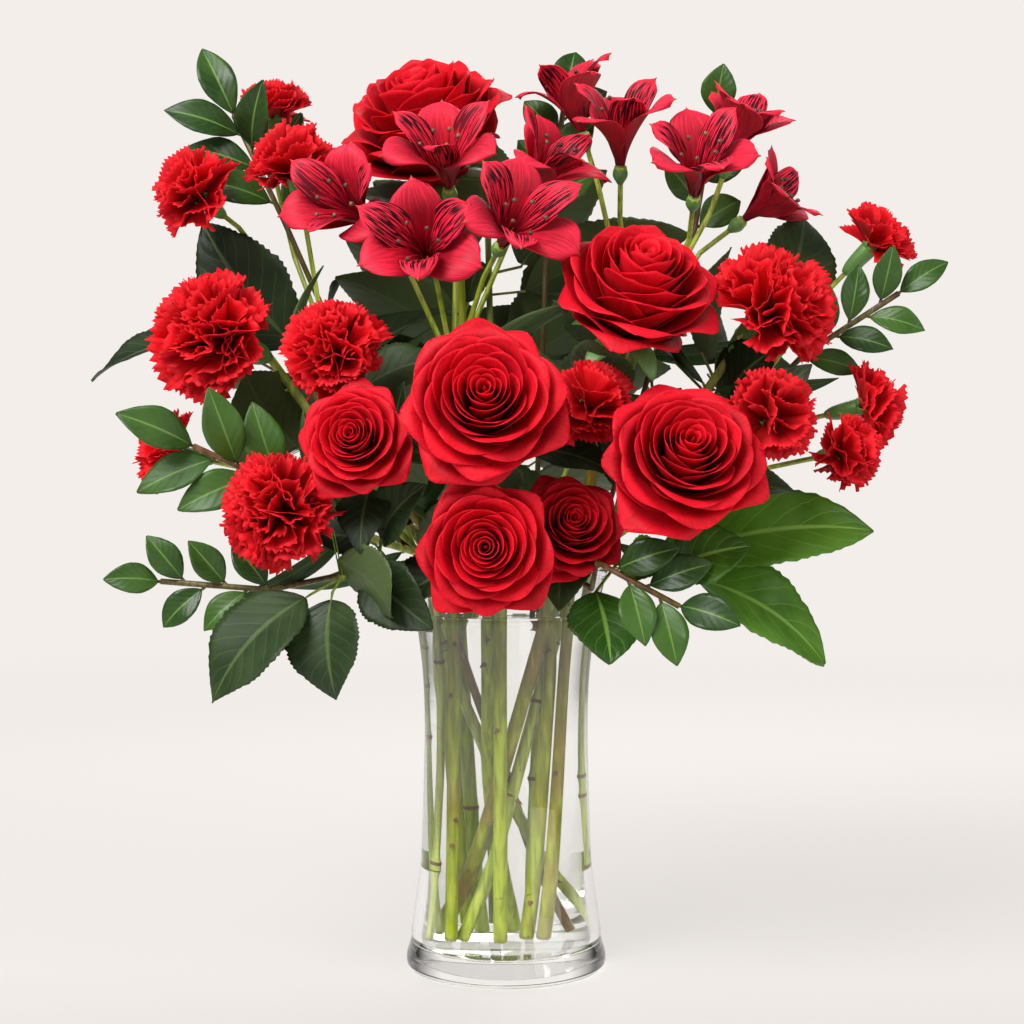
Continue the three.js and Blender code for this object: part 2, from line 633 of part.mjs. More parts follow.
function forkedPlant(kind, make, { name, fork, flowers, crosses }, leaves) {
  const plant = { name: `${name}_stem`, kind, leaves, stems: [], heads: [] };
  const top = aboveRim(fork);
  plant.stems.push({ ...mainStem({ end: top, radius: kind.stem, crosses }), plant });
  for (const flower of flowers) {
    const head = { ...headOf(kind, make, flower, plant), name: `${name}_${flower.name}` };
    plant.stems.push({ ...sideStem(top, head.seat, head.faces, kind.branch, kind.cup), plant });
    plant.heads.push(head);
  }
  return plant;
}

// Leaves down a rose's stem, each a turn round from the last.
const roseLeaves = ({ stems: [stem], heads: [head] }) =>
  ROSE_LEAF.belowFlower.map((below, i) =>
    stemLeaf(stem, below, TURN * (i + head.across), { ...ROSE_LEAF, outline: BROAD }),
  );

// Pairs of narrow leaves at a carnation's joints.
const carnationLeaves = ({ stems: [stem] }) =>
  CARNATION_LEAF.belowFlower.flatMap((below, i) =>
    [0, Math.PI].map((half) => stemLeaf(stem, below, half + i * TURN, { ...CARNATION_LEAF, outline: SLIM })),
  );

// Long leaves below the fork of an alstroemeria.
const alstroemeriaLeaves = ({ stems: [stem] }) =>
  levels(...ALSTROEMERIA_LEAF.belowFork, ALSTROEMERIA_LEAF.count).map((below, i) =>
    stemLeaf(stem, below, i * TURN, { ...ALSTROEMERIA_LEAF, outline: SLIM }),
  );

function twigPlant({ name, start, tip, leaves, length, width, crosses }) {
  const plant = { name, kind: TWIG, stems: [], heads: [] };
  const from = aboveRim(start);
  const end = aboveRim(tip);
  const along = end.clone().sub(from).normalize();
  const stem = { ...mainStem({ end: from, radius: TWIG.stem, crosses }), plant, heldLast: 3 };
  stem.points.push(from.clone().lerp(end, 0.5), end);
  plant.stems.push(stem);
  const across = new THREE.Vector3().crossVectors(FRONT, along).normalize();
  plant.leaves = () =>
    Array.from({ length: leaves }, (_, i) => {
      const t = i / (leaves - 1);
      const foot = backAlong(stem, TWIG.bud + (1 - t) * (from.distanceTo(end) - TWIG.bud)).point;
      const last = i === leaves - 1;
      const aside = last ? 0 : TWIG.spread * (i % 2 ? 1 : -1);
      const forward = TWIG.forward * (i % 3);
      const way = along.clone().addScaledVector(across, aside).addScaledVector(FRONT, forward).normalize();
      const base = foot.clone().addScaledVector(way, TWIG.stalk);
      const blade = base.clone().addScaledVector(way, length);
      const normal = FRONT.clone().addScaledVector(UP, TWIG.raised);
      return { foot, base, tip: blade, width, normal, outline: BROAD };
    });
  return plant;
}

function branchPlant({ name, tip, leaves, crosses }) {
  const plant = { name, kind: BRANCH, stems: [], heads: [] };
  const end = aboveRim(tip);
  plant.stems.push({ ...mainStem({ end, radius: BRANCH.stem, crosses }), plant });
  plant.leaves = () => {
    const stem = plant.stems[0];
    return leaves.map(({ from, to, width }) => {
      const base = aboveRim(from);
      const point = aboveRim(to);
      const behind = base.clone().sub(point).setLength(BRANCH.stalk).add(base);
      const foot = nearestOn(stem, behind);
      const normal = new THREE.Vector3(base.x, base.y, 0).setLength(BRANCH.out).addScaledVector(UP, BRANCH.raised);
      if (base.y < 0) normal.addScaledVector(FRONT, BRANCH.forward);
      return { foot, base, tip: point, width, normal, outline: BROAD };
    });
  };
  return plant;
}

// The place on a stem's leafy length that lies nearest to a point.
function nearestOn(stem, point) {
  const places = levels(BRANCH.bud, BRANCH.leafy, 30).map((below) => backAlong(stem, below).point);
  return places.reduce((best, place) => (place.distanceTo(point) < best.distanceTo(point) ? place : best));
}

// The foliage comes first, so that its leaves have the first choice of room.
const plants = [
  ...TWIGS.map(twigPlant),
  ...BRANCHES.map(branchPlant),
  ...ROSES.map((flower) => singlePlant(ROSE, roseHead, flower, roseLeaves)),
  ...CARNATIONS.map((flower) => singlePlant(CARNATION, carnationHead, flower, carnationLeaves)),
  ...ALSTROEMERIAS.map((group) => forkedPlant(ALSTROEMERIA, alstroemeriaHead, group, alstroemeriaLeaves)),
  ...SPRAYS.map((group) => forkedPlant(SPRAY, carnationHead, group, carnationLeaves)),
];
const stems = plants.flatMap((plant) => plant.stems);
const heads = plants.flatMap((plant) => plant.heads);
spreadStems(stems, heads);

// A cup under a flower: it stands on the stem's end and opens out to the flower's back.
function cupBody({ kind, seat, faces }, grow = 0) {
  const { cup, cupLength, stem, branch } = kind;
  const neck = branch ?? stem;
  const profile = [
    [0, -cupLength - grow], [neck * 0.9 + grow, -cupLength - grow],
    [cup + grow, -0.5 * cupLength], [0.9 * cup + grow, 0], [0, 0],
  ];
  return stood(turned(profile, CUP_SIDES), seat, faces);
}

function stemBody(stem, grow = 0) {
  const sides = stem.radius > STEM_SIDES.thickFrom ? STEM_SIDES.thick : STEM_SIDES.thin;
  return tube(stem.points, stem.radius + grow, sides);
}

// A plant's stems and cups as one solid, without its leaves.
function bareStem({ stems, heads }, grow) {
  const bodies = [...stems.map((stem) => stemBody(stem, grow)), ...heads.map((head) => cupBody(head, grow))];
  return bodies.map(solid).reduce((a, b) => a.add(b));
}

// ---- Vase and water -----------------------------------------------------------------------------

function vaseBody() {
  const { height, footRadius, rimRadius, wall, floor, edge } = VASE;
  const outside = levels(edge * 2, height - wall / 2, 8).map((z) => [outerRadius(z), z]);
  const inside = levels(height - wall / 2, floor + edge, 7).map((z) => [innerRadius(z), z]);
  const profile = [[0, 0], [footRadius - edge, 0], [footRadius - edge * 0.3, edge * 0.4], ...outside,
    [rimRadius - wall / 2, height], ...inside, [innerRadius(floor) - edge, floor], [0, floor]];
  return turned(profile, VASE_SIDES);
}

function waterBody() {
  const top = VASE.height - WATER_BELOW_RIM;
  const side = levels(VASE.floor + VASE.edge + GAP, top, 6).map((z) => [innerRadius(z) - 2 * GAP, z]);
  const bottom = VASE.floor + GAP;
  const profile = [[0, bottom], [innerRadius(VASE.floor) - VASE.edge - GAP, bottom], ...side, [0, top]];
  return turned(profile, VASE_SIDES);
}

// ---- Assembly -----------------------------------------------------------------------------------

const bouquet = new THREE.Group();
const show = (made, name, material) => bouquet.add(meshOf(made, name, material));

const vase = solid(vaseBody());
const filling = solid(waterBody());
const bare = plants.map((plant) => {
  const grown = boxed(bareStem(plant, GAP));
  return { ...boxed(bareStem(plant, 0)), grown, plant };
});

const shown = [];
for (const head of heads) {
  let made = solid(stood(head.make(head.across), head.back, head.faces));
  const others = [...shown, ...bare.filter((stem) => stem.plant !== head.plant)].map((other) => other.grown);
  for (const other of others) if (touches(made, other)) made = made.subtract(other.made);
  const grown = boxed(solid(stood(head.make(head.across, GAP), head.back, head.faces)));
  shown.push({ ...boxed(made), grown, head });
  show(made, head.name, PETAL);
}

const leaves = [];
for (const stem of bare) {
  const { plant } = stem;
  const otherStems = bare.filter((other) => other !== stem);
  const others = [boxed(vase), boxed(filling), ...shown, ...otherStems, ...leaves];
  const blades = [];
  let made = stem.made;
  for (const leaf of plant.leaves(plant)) {
    const clear = clearLeaf(leaf, others, blades);
    if (!clear) continue;
    leaves.push(boxed(clear.made));
    blades.push(clear.blade);
    made = made.add(clear.made);
  }
  show(made, plant.name, plant.heads.length ? GREEN : TWIG_GREEN);
}

let water = filling;
for (const stem of bare) water = water.subtract(stem.grown.made);
show(vase, "vase", GLASS);
show(water, "water", WATER);

export default bouquet;
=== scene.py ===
"""The looks of a bouquet of roses, carnations and alstroemeria in a glass vase, built round its CAD model.

Each CAD node gives the place and size of one piece: a bloom's middle, way and width, a leaf's base, tip and
width, a stem's line, and the vase's profile. Metres, +Z up; the bouquet faces -Y.
"""
import math

import bpy
import numpy as np
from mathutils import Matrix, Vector
from mathutils.bvhtree import BVHTree


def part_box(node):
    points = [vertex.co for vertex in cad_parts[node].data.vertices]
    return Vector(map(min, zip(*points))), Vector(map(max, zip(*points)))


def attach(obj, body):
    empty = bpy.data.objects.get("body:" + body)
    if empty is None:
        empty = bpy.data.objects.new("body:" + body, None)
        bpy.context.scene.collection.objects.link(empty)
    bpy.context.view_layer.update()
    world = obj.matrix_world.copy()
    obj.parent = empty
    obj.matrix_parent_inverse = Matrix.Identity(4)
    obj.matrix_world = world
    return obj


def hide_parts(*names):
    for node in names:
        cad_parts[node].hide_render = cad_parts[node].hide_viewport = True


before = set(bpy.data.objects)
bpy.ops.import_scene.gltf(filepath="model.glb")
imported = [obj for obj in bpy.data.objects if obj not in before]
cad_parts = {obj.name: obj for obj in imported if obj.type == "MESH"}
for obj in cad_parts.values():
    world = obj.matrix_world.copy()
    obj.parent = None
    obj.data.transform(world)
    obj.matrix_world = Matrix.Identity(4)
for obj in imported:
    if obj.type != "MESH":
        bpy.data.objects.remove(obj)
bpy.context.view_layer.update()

MM = 0.001
GOLDEN = math.pi * (3 - math.sqrt(5))  # the turn from one petal or leaf to the next
UP = np.array((0.0, 0.0, 1.0))


# ---- Small helpers -------------------------------------------------------------------------------

def draws(name):
    """Random numbers that depend only on a piece's name."""
    return np.random.default_rng(sum((i + 1) * ord(c) for i, c in enumerate(name)))


def unit(v):
    return v / (np.linalg.norm(v, axis=-1, keepdims=True) + 1e-12)


def blend(a, b, share):
    return a + (b - a) * share


def smooth(low, high, x):
    t = np.clip((x - low) / (high - low), 0, 1)
    return t * t * (3 - 2 * t)


def weld(node):
    """A CAD node's corners, each once, and its triangles."""
    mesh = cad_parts[node].data
    mesh.calc_loop_triangles()
    corners = np.array([v.co for v in mesh.vertices])
    triangles = np.array([t.vertices for t in mesh.loop_triangles])
    keys, index = np.unique(np.round(corners, 6), axis=0, return_inverse=True)
    triangles = index.reshape(-1)[triangles]
    whole = (triangles != np.roll(triangles, 1, axis=1)).all(axis=1)
    return keys, triangles[whole]


class Body:
    """One piece's mesh, gathered part by part, each part with its own material."""

    def __init__(self, name):
        self.name = name
        self.points, self.faces, self.slots, self.uvs, self.looks = [], [], [], [], []
        self.materials = []
        self.caps = []
        self.count = 0

    def add(self, points, faces, uv, material, tone=0.5, under=0.0):
        """Adds a part. tone varies a part's colour, and under is 1 on the lower side of a leaf or petal."""
        if material not in self.materials:
            self.materials.append(material)
        self.points.append(points)
        self.faces.append(faces + self.count)
        self.slots.append(np.full(len(faces), self.materials.index(material)))
        self.uvs.append(uv)
        look = np.zeros((len(points), 4))
        look[:, 0], look[:, 1], look[:, 3] = tone, under, 1
        self.looks.append(look)
        self.count += len(points)

    def skin(self, points, thickness, material, tone=0.5):
        """Adds a grid of (rows, columns) points as a thin closed sheet."""
        rows, columns = points.shape[:2]
        normal = unit(np.cross(np.gradient(points, axis=1), np.gradient(points, axis=0)))
        half = np.broadcast_to(thickness, (rows, columns))[..., None] / 2
        index = np.arange(rows * columns).reshape(rows, columns)
        front = np.stack([index[:-1, :-1], index[:-1, 1:], index[1:, 1:], index[1:, :-1]], -1).reshape(-1, 4)
        back = front[:, ::-1] + rows * columns
        edge = np.concatenate([index[0, :-1], index[:-1, -1], index[-1, :0:-1], index[:0:-1, 0]])
        after = np.roll(edge, -1)
        rim = np.stack([after, edge, edge + rows * columns, after + rows * columns], -1)
        v, u = np.meshgrid(np.linspace(0, 1, rows), np.linspace(0, 1, columns), indexing="ij")
        uv = np.tile(np.stack([u, v], -1).reshape(-1, 2), (2, 1))
        both = np.concatenate([
            (points + normal * half).reshape(-1, 3), (points - normal * half).reshape(-1, 3)])
        under = np.repeat((0.0, 1.0), rows * columns)
        self.add(both, np.concatenate([front, back, rim]), uv, material, tone, under)

    def tube(self, line, radii, sides, material, tone=0.5):
        """Adds a round closed tube along a line, with a radius at each of its points."""
        line = np.asarray(line, float)
        radii = np.broadcast_to(radii, len(line)).astype(float)
        ways = unit(np.gradient(line, axis=0))
        line, ways = (np.concatenate([run[:1], run, run[-1:]]) for run in (line, ways))
        radii = np.concatenate([[radii[0] * 0.02], radii, [radii[-1] * 0.02]])
        side = unit(np.cross(ways[0], (0.3, 0.9, 0.2)))
        rings = []
        for place, way, radius in zip(line, ways, radii):
            side = unit(side - way * side.dot(way))
            other = np.cross(way, side)
            turn = np.arange(sides) * 2 * math.pi / sides
            rings.append(place + radius * (np.cos(turn)[:, None] * side + np.sin(turn)[:, None] * other))
        self.rings(np.array(rings), material, tone)

    def rings(self, rings, material, tone=0.5):
        """Adds a closed body of rings, whose first and last are small enough to be points."""
        rows, sides = rings.shape[:2]
        index = np.arange(rows * sides).reshape(rows, sides)
        after = np.roll(index, -1, axis=1)
        quads = np.stack([index[:-1], after[:-1], after[1:], index[1:]], -1).reshape(-1, 4)
        v, u = np.meshgrid(np.linspace(0, 1, rows), np.arange(sides) / sides, indexing="ij")
        uv = np.stack([u, v], -1).reshape(-1, 2)
        self.add(rings.reshape(-1, 3), quads, uv, material, tone)
        for ring in (index[0][::-1], index[-1]):
            self.caps.append((ring + self.count - rows * sides, self.materials.index(material)))

    def build(self):
        """Makes the piece: its mesh, its UV map "along", its point colours "look" and its materials."""
        points = np.concatenate(self.points)
        mesh = bpy.data.meshes.new(self.name)
        faces = [face for group in self.faces for face in group]
        slots = list(np.concatenate(self.slots))
        for ring, slot in self.caps:
            faces.append(ring)
            slots.append(slot)
        sizes = np.array([len(face) for face in faces])
        corners = np.concatenate(faces).astype(np.int32)
        starts = np.concatenate([[0], np.cumsum(sizes)[:-1]]).astype(np.int32)
        mesh.vertices.add(len(points))
        mesh.vertices.foreach_set("co", points.astype(np.float32).ravel())
        mesh.loops.add(len(corners))
        mesh.loops.foreach_set("vertex_index", corners)
        mesh.polygons.add(len(faces))
        mesh.polygons.foreach_set("loop_start", starts)
        mesh.polygons.foreach_set("material_index", np.array(slots, np.int32))
        mesh.polygons.foreach_set("use_smooth", np.ones(len(faces), bool))
        uv = mesh.uv_layers.new(name="along")
        uv.data.foreach_set("uv", np.concatenate(self.uvs)[corners].astype(np.float32).ravel())
        look = mesh.attributes.new("look", "FLOAT_COLOR", "POINT")
        look.data.foreach_set("color", np.concatenate(self.looks).astype(np.float32).ravel())
        for material in self.materials:
            mesh.materials.append(material)
        mesh.update(calc_edges=True)
        mesh.validate()
        piece = bpy.data.objects.new(self.name, mesh)
        bpy.context.scene.collection.objects.link(piece)
        return piece


# ---- Materials -----------------------------------------------------------------------------------

def add_node(tree, kind, inputs=(), **settings):
    """Adds a node. inputs gives each socket, by name or number, a value or another node's output."""
    made = tree.nodes.new(kind)
    for key, value in settings.items():
        setattr(made, key, value)
    for key, value in dict(inputs).items():
        if isinstance(value, bpy.types.NodeSocket):
            tree.links.new(value, made.inputs[key])
        else:
            made.inputs[key].default_value = value
    return made


class Nodes:
    """A material's nodes, added one by one."""

    def __init__(self, name):
        self.material = bpy.data.materials.new(name)
        self.material.use_nodes = True
        self.tree = self.material.node_tree
        self.shader = self.tree.nodes["Principled BSDF"]
        self.output = self.tree.nodes["Material Output"]

    def node(self, kind, inputs=(), **settings):
        return add_node(self.tree, kind, inputs, **settings)

    def math(self, operation, a, b=0.0):
        return self.node("ShaderNodeMath", {0: a, 1: b}, operation=operation).outputs[0]

    def times(self, *factors):
        product = factors[0]
        for factor in factors[1:]:
            product = self.math("MULTIPLY", product, factor)
        return product

    def mix(self, share, a, b):
        made = self.node("ShaderNodeMix", {0: share}, data_type="RGBA")
        for socket, value in ((6, a), (7, b)):
            if isinstance(value, bpy.types.NodeSocket):
                self.tree.links.new(value, made.inputs[socket])
            else:
                made.inputs[socket].default_value = (*value, 1)
        return made.outputs[2]

    def noise(self, scale, detail=3.0, vector=None):
        inputs = {"Scale": scale, "Detail": detail}
        if vector:
            inputs["Vector"] = vector
        return self.node("ShaderNodeTexNoise", inputs).outputs["Fac"]

    def place(self):
        return self.node("ShaderNodeTexCoord").outputs["Object"]

    def uv(self):
        split = self.node("ShaderNodeSeparateXYZ", {0: self.node("ShaderNodeTexCoord").outputs["UV"]})
        return split.outputs[0], split.outputs[1]

    def look(self):
        attribute = self.node("ShaderNodeAttribute", attribute_name="look")
        split = self.node("ShaderNodeSeparateColor", {0: attribute.outputs["Color"]})
        return split.outputs[0], split.outputs[1]

    def range(self, value, low, high, to_low=0.0, to_high=1.0):
        """Maps low..high smoothly to to_low..to_high."""
        inputs = {"Value": value, "From Min": low, "From Max": high, "To Min": to_low, "To Max": to_high}
        return self.node("ShaderNodeMapRange", inputs, interpolation_type="SMOOTHSTEP").outputs[0]

    def bump(self, height, strength, distance):
        made = self.node("ShaderNodeBump", {"Height": height, "Strength": strength, "Distance": distance})
        self.tree.links.new(made.outputs[0], self.shader.inputs["Normal"])

    def set(self, **values):
        """Sets or links the shader's sockets, by their names with _ for a space."""
        for key, value in values.items():
            socket = self.shader.inputs[key.replace("_", " ")]
            if isinstance(value, bpy.types.NodeSocket):
                self.tree.links.new(value, socket)
            else:
                socket.default_value = value


STREAK = (0.03, 0.001, 0.006)
THROAT_SHADE = (0.10, 0.002, 0.010)


def petal_material(name, deep, main, highlight_and_pale_ground, gloss=0.15, streaks=False, green=None):
    """Velvety red petals: painted shade towards their foot, darker in patches, a painted highlight along the
    edge, finely veined.
    """
    n = Nodes(name)
    u, v = n.uv()
    tone, _ = n.look()
    cloud = n.noise(60, 3, n.place())
    shade = n.math("ADD", n.times(n.math("SUBTRACT", cloud, 0.5), 0.9), tone)
    colour = n.mix(n.range(shade, 0.15, 0.85), deep, main)
    # Painted highlight: lighter towards the petal's edge.
    colour = n.mix(n.times(n.range(v, 0.55, 1.0), 0.55), colour, highlight_and_pale_ground)
    # Painted shade: darker towards the petal's foot, deep inside the bloom.
    colour = n.mix(n.range(v, 0.3, 0.0, 0.0, 0.35), colour, deep)
    fine = n.node("ShaderNodeCombineXYZ", {0: n.times(u, 34.0), 1: n.times(v, 3.0), 2: tone})
    veins = n.noise(1.6, 3, fine.outputs[0])
    colour = n.mix(n.range(veins, 0.45, 0.75, 0.0, 0.35), colour, deep)
    if streaks:
        strokes = n.node(
            "ShaderNodeCombineXYZ", {0: n.times(u, 22.0), 1: n.times(v, 2.6), 2: n.times(tone, 9.0)})
        dark = n.range(n.noise(1.5, 1, strokes.outputs[0]), 0.45, 0.50)
        zone = n.times(n.range(v, 0.12, 0.28), n.range(v, 1.0, 0.84))
        inner = n.range(tone, 0.55, 0.65, 0.3, 1.0)
        colour = n.mix(n.times(zone, inner, 0.35), colour, highlight_and_pale_ground)
        colour = n.mix(n.times(dark, zone, inner), colour, STREAK)
        # Painted shade: darker in the throat, towards the tepals' foot.
        colour = n.mix(n.range(v, 0.4, 0.1, 0.0, 0.7), colour, THROAT_SHADE)
    if green:
        middle = n.range(n.math("ABSOLUTE", n.math("SUBTRACT", u, 0.5)), 0.16, 0.04)
        colour = n.mix(n.times(n.range(v, 0.95, 1.0), middle, 0.5), colour, green)
    n.set(
        Base_Color=colour, Roughness=n.range(cloud, 0.3, 0.7, 0.51 - 0.2 * gloss, 0.69 - 0.2 * gloss),
        Sheen_Weight=0.04, Sheen_Roughness=0.4, Sheen_Tint=(1.0, 0.12, 0.15, 1), Specular_IOR_Level=gloss,
        Subsurface_Weight=0.1, Subsurface_Scale=0.0015, Subsurface_Radius=(1.0, 0.1, 0.08))
    n.bump(veins, 0.35, 0.0004)
    return n.material


def leaf_material(name, dark, main, pale, rib, gloss, pairs, veined=0.4):
    """Leaves: a pale midrib, pairs of side veins, patches of tone, and a lighter, duller lower side."""
    n = Nodes(name)
    u, v = n.uv()
    tone, under = n.look()
    across = n.math("ABSOLUTE", n.math("SUBTRACT", n.times(u, 2.0), 1.0))
    cloud = n.noise(45, 4, n.place())
    shade = n.math("ADD", n.times(n.math("SUBTRACT", cloud, 0.5), 1.1), tone)
    midrib = n.range(across, 0.085, 0.02)
    run = n.math("SUBTRACT", n.times(v, pairs), n.times(across, 2.1))
    wave = n.math("ABSOLUTE", n.math("SUBTRACT", n.math("FRACT", run), 0.5))
    side_vein = n.times(n.range(wave, 0.055, 0.0), n.range(across, 1.0, 0.7, 0.15, 1.0))
    net = n.noise(420, 2, n.place())
    colour = n.mix(n.range(shade, 0.1, 0.9), dark, main)
    colour = n.mix(n.times(side_vein, veined), colour, rib)
    colour = n.mix(n.times(n.range(net, 0.5, 0.7), 0.18), colour, main)
    colour = n.mix(n.times(midrib, 0.85), colour, rib)
    colour = n.mix(n.times(under, 0.65), colour, pale)
    n.set(
        Base_Color=colour, Roughness=n.range(cloud, 0.3, 0.7, gloss, gloss + 0.16),
        Specular_IOR_Level=0.35, Subsurface_Weight=0.05, Subsurface_Scale=0.001)
    ridges = n.math("ADD", n.times(n.range(wave, 0.0, 0.5), 0.7), n.times(net, 0.25))
    n.bump(n.math("SUBTRACT", ridges, n.times(midrib, 0.6)), 0.5, 0.0008 * veined)
    return n.material


def stem_material(name, main, other, scar, ribbed=0.0, streaked=0.6):
    """Plant stems: long faint ribs streaked with painted shade and painted highlight, patches of a second
    colour, and small brown flecks.
    """
    n = Nodes(name)
    place = n.place()
    tone, _ = n.look()
    long_way = n.node("ShaderNodeMapping", {"Vector": place, "Scale": (1.0, 1.0, 0.08)}).outputs[0]
    streak = n.noise(420, 3, long_way)
    patch = n.noise(22, 3, place)
    share = n.math("ADD", n.times(n.math("SUBTRACT", patch, 0.5), 1.6), tone)
    # Painted shade and painted highlight: darker and lighter copies of the stem's colour, laid in streaks
    # along the ribs.
    shaded = tuple(0.35 * c for c in main)
    streak_highlight = tuple(min(1.0, 1.25 * c + 0.08) for c in main)
    colour = n.mix(n.range(share, 0.2, 0.8), main, other)
    colour = n.mix(n.range(streak, 0.42, 0.62, 0.0, streaked), colour, shaded)
    colour = n.mix(n.range(streak, 0.42, 0.3, 0.0, 0.6 * streaked), colour, streak_highlight)
    fleck = n.range(n.noise(240, 2, place), 0.70, 0.76)
    colour = n.mix(n.times(fleck, 0.8), colour, scar)
    n.set(
        Base_Color=colour, Roughness=n.range(streak, 0.3, 0.7, 0.32, 0.5),
        Subsurface_Weight=0.08, Subsurface_Scale=0.002)
    n.bump(streak, 0.3 + ribbed, 0.0004)
    return n.material


def clear_material(name, colour, ior):
    """Glass or water, which also lets lamp light through to what it holds."""
    n = Nodes(name)
    n.set(Base_Color=(*colour, 1), Transmission_Weight=1.0, IOR=ior, Roughness=0.0)
    lamp = n.node("ShaderNodeLightPath").outputs["Is Shadow Ray"]
    through = n.node("ShaderNodeBsdfTransparent", {"Color": (*colour, 1)})
    both = n.node("ShaderNodeMixShader", {0: lamp, 1: n.shader.outputs[0], 2: through.outputs[0]})
    n.tree.links.new(both.outputs[0], n.output.inputs["Surface"])
    return n.material


ROSE_RED = petal_material("rose_petal", (0.20, 0.002, 0.005), (0.62, 0.004, 0.013), (0.90, 0.007, 0.025))
CARNATION_RED = petal_material(
    "carnation_petal", (0.24, 0.002, 0.003), (0.66, 0.005, 0.010), (0.92, 0.016, 0.028))
ALSTRO_RED = petal_material(
    "alstroemeria_petal", (0.27, 0.001, 0.009), (0.84, 0.006, 0.030), (1.0, 0.03, 0.08),
    gloss=0.2, streaks=True, green=(0.12, 0.2, 0.03))
ROSE_LEAF = leaf_material(
    "rose_leaf", (0.007, 0.018, 0.005), (0.026, 0.053, 0.011), (0.08, 0.12, 0.035),
    (0.07, 0.115, 0.03), 0.48, 8.0, 0.5)
BROAD_LEAF = leaf_material(
    "broad_leaf", (0.020, 0.075, 0.004), (0.080, 0.205, 0.012), (0.16, 0.27, 0.06),
    (0.20, 0.36, 0.06), 0.34, 6.0, 0.45)
TWIG_LEAF = leaf_material(
    "twig_leaf", (0.012, 0.040, 0.006), (0.045, 0.115, 0.014), (0.13, 0.22, 0.05),
    (0.13, 0.24, 0.045), 0.30, 7.0, 0.2)
STRAP_LEAF = leaf_material(
    "strap_leaf", (0.014, 0.042, 0.008), (0.050, 0.110, 0.022), (0.14, 0.22, 0.08),
    (0.10, 0.18, 0.05), 0.44, 3.0, 0.3)
ROSE_STEM = stem_material("rose_stem", (0.37, 0.45, 0.012), (0.30, 0.18, 0.015), (0.16, 0.05, 0.01))
CARNATION_STEM = stem_material("carnation_stem", (0.52, 0.59, 0.13), (0.33, 0.43, 0.03), (0.26, 0.14, 0.03))
ALSTRO_STEM = stem_material(
    "alstroemeria_stem", (0.34, 0.46, 0.015), (0.54, 0.60, 0.11), (0.22, 0.12, 0.03), ribbed=0.3)
TWIG_STEM = stem_material("twig_stem", (0.14, 0.045, 0.015), (0.12, 0.10, 0.02), (0.05, 0.02, 0.01))
BRANCH_STEM = stem_material("branch_stem", (0.22, 0.30, 0.04), (0.26, 0.13, 0.03), (0.10, 0.04, 0.01))
CALYX = stem_material("calyx", (0.10, 0.24, 0.05), (0.16, 0.32, 0.08), (0.10, 0.12, 0.03), streaked=0.12)
SCAR = stem_material("scar", (0.28, 0.13, 0.03), (0.12, 0.045, 0.012), (0.05, 0.018, 0.005))
PITH = stem_material("pith", (0.62, 0.60, 0.38), (0.50, 0.46, 0.24), (0.28, 0.18, 0.07))
ANTHER = stem_material("anther", (0.10, 0.03, 0.02), (0.20, 0.13, 0.06), (0.05, 0.02, 0.01))
GLASS = clear_material("clear_glass", (0.994, 0.999, 0.996), 1.47)
WATER = clear_material("water", (0.995, 0.999, 0.995), 1.33)


# ---- Blooms --------------------------------------------------------------------------------------

ROSE_PETALS, ROSE_PETAL = 42, 0.2 * MM  # how many, and how thick
LARGE_CARNATION_PETALS, SMALL_CARNATION_PETALS, CARNATION_PETAL = 32, 17, 0.22 * MM
ALSTRO_PETAL = 0.3 * MM
LARGE_BLOOM = 24 * MM  # a carnation of a larger radius than this stands alone on its stem

def stem_of(bloom):
    """The node that carries a bloom: its own stem, or the forked stem of its spray."""
    own = f"{bloom}_stem"
    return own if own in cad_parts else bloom.rsplit("_", 1)[0] + "_stem"


class BloomFrame:
    """Where a bloom's CAD solid stands: its foot, the way it faces, its radius and its depth."""

    def __init__(self, node):
        points, triangles = weld(node)
        stem, _ = weld(stem_of(node))
        gaps = np.linalg.norm(points[:, None] - stem[None], axis=2)
        near = stem[gaps.min(axis=0) < 9 * MM]
        a, b, c = (points[triangles[:, i]] for i in range(3))
        volumes = np.einsum("ij,ij->i", a, np.cross(b, c))
        middle = ((a + b + c) * volumes[:, None]).sum(0) / (4 * volumes.sum())
        self.way = unit(middle - near.mean(0))
        along = (points - middle) @ self.way
        self.foot = middle + self.way * along.min()
        self.depth = along.max() - along.min()
        off = points - middle - along[:, None] * self.way
        self.radius = np.linalg.norm(off, axis=1).max()
        self.right = unit(np.cross(UP, self.way))
        self.top = np.cross(self.way, self.right)

    def out(self, x, y, z):
        """A point of the bloom's own frame, +Z the way it faces, in the object's frame."""
        return self.foot + x[..., None] * self.right + y[..., None] * self.top + z[..., None] * self.way


def petal_grid(rows, columns):
    """u across (-1 to 1) and v along (0 to 1) at each point of a petal or leaf."""
    v, u = np.meshgrid(np.linspace(0, 1, rows), np.linspace(-1, 1, columns), indexing="ij")
    return u, v


def turned(turn, radial, sideways):
    """x and y of points that lie radial and sideways of an axis, in a plane turned by turn."""
    x = radial * math.cos(turn) - sideways * math.sin(turn)
    y = radial * math.sin(turn) + sideways * math.cos(turn)
    return x, y


def bent_petal(u, v, turn, length, lean, root, half, cup, lift):
    """A petal that leans out from its flower's axis by lean (an angle at each point), wrapped round the axis.

    root is its foot's distance from the axis, half its half width, cup how much flatter than round the axis it
    is, and lift the height of its foot."""
    step = length / (len(v) - 1)
    sine, cosine = np.sin(lean) * step, np.cos(lean) * step
    out = root + np.cumsum(sine, axis=0) - sine[:1]
    height = lift + np.cumsum(cosine, axis=0) - cosine[:1]
    middle = out[:, out.shape[1] // 2][:, None]
    bend = np.maximum(np.maximum(middle, root) * cup, half / 1.9)
    angle = half * u / bend
    return *turned(turn, out - bend * (1 - np.cos(angle)), bend * np.sin(angle)), height


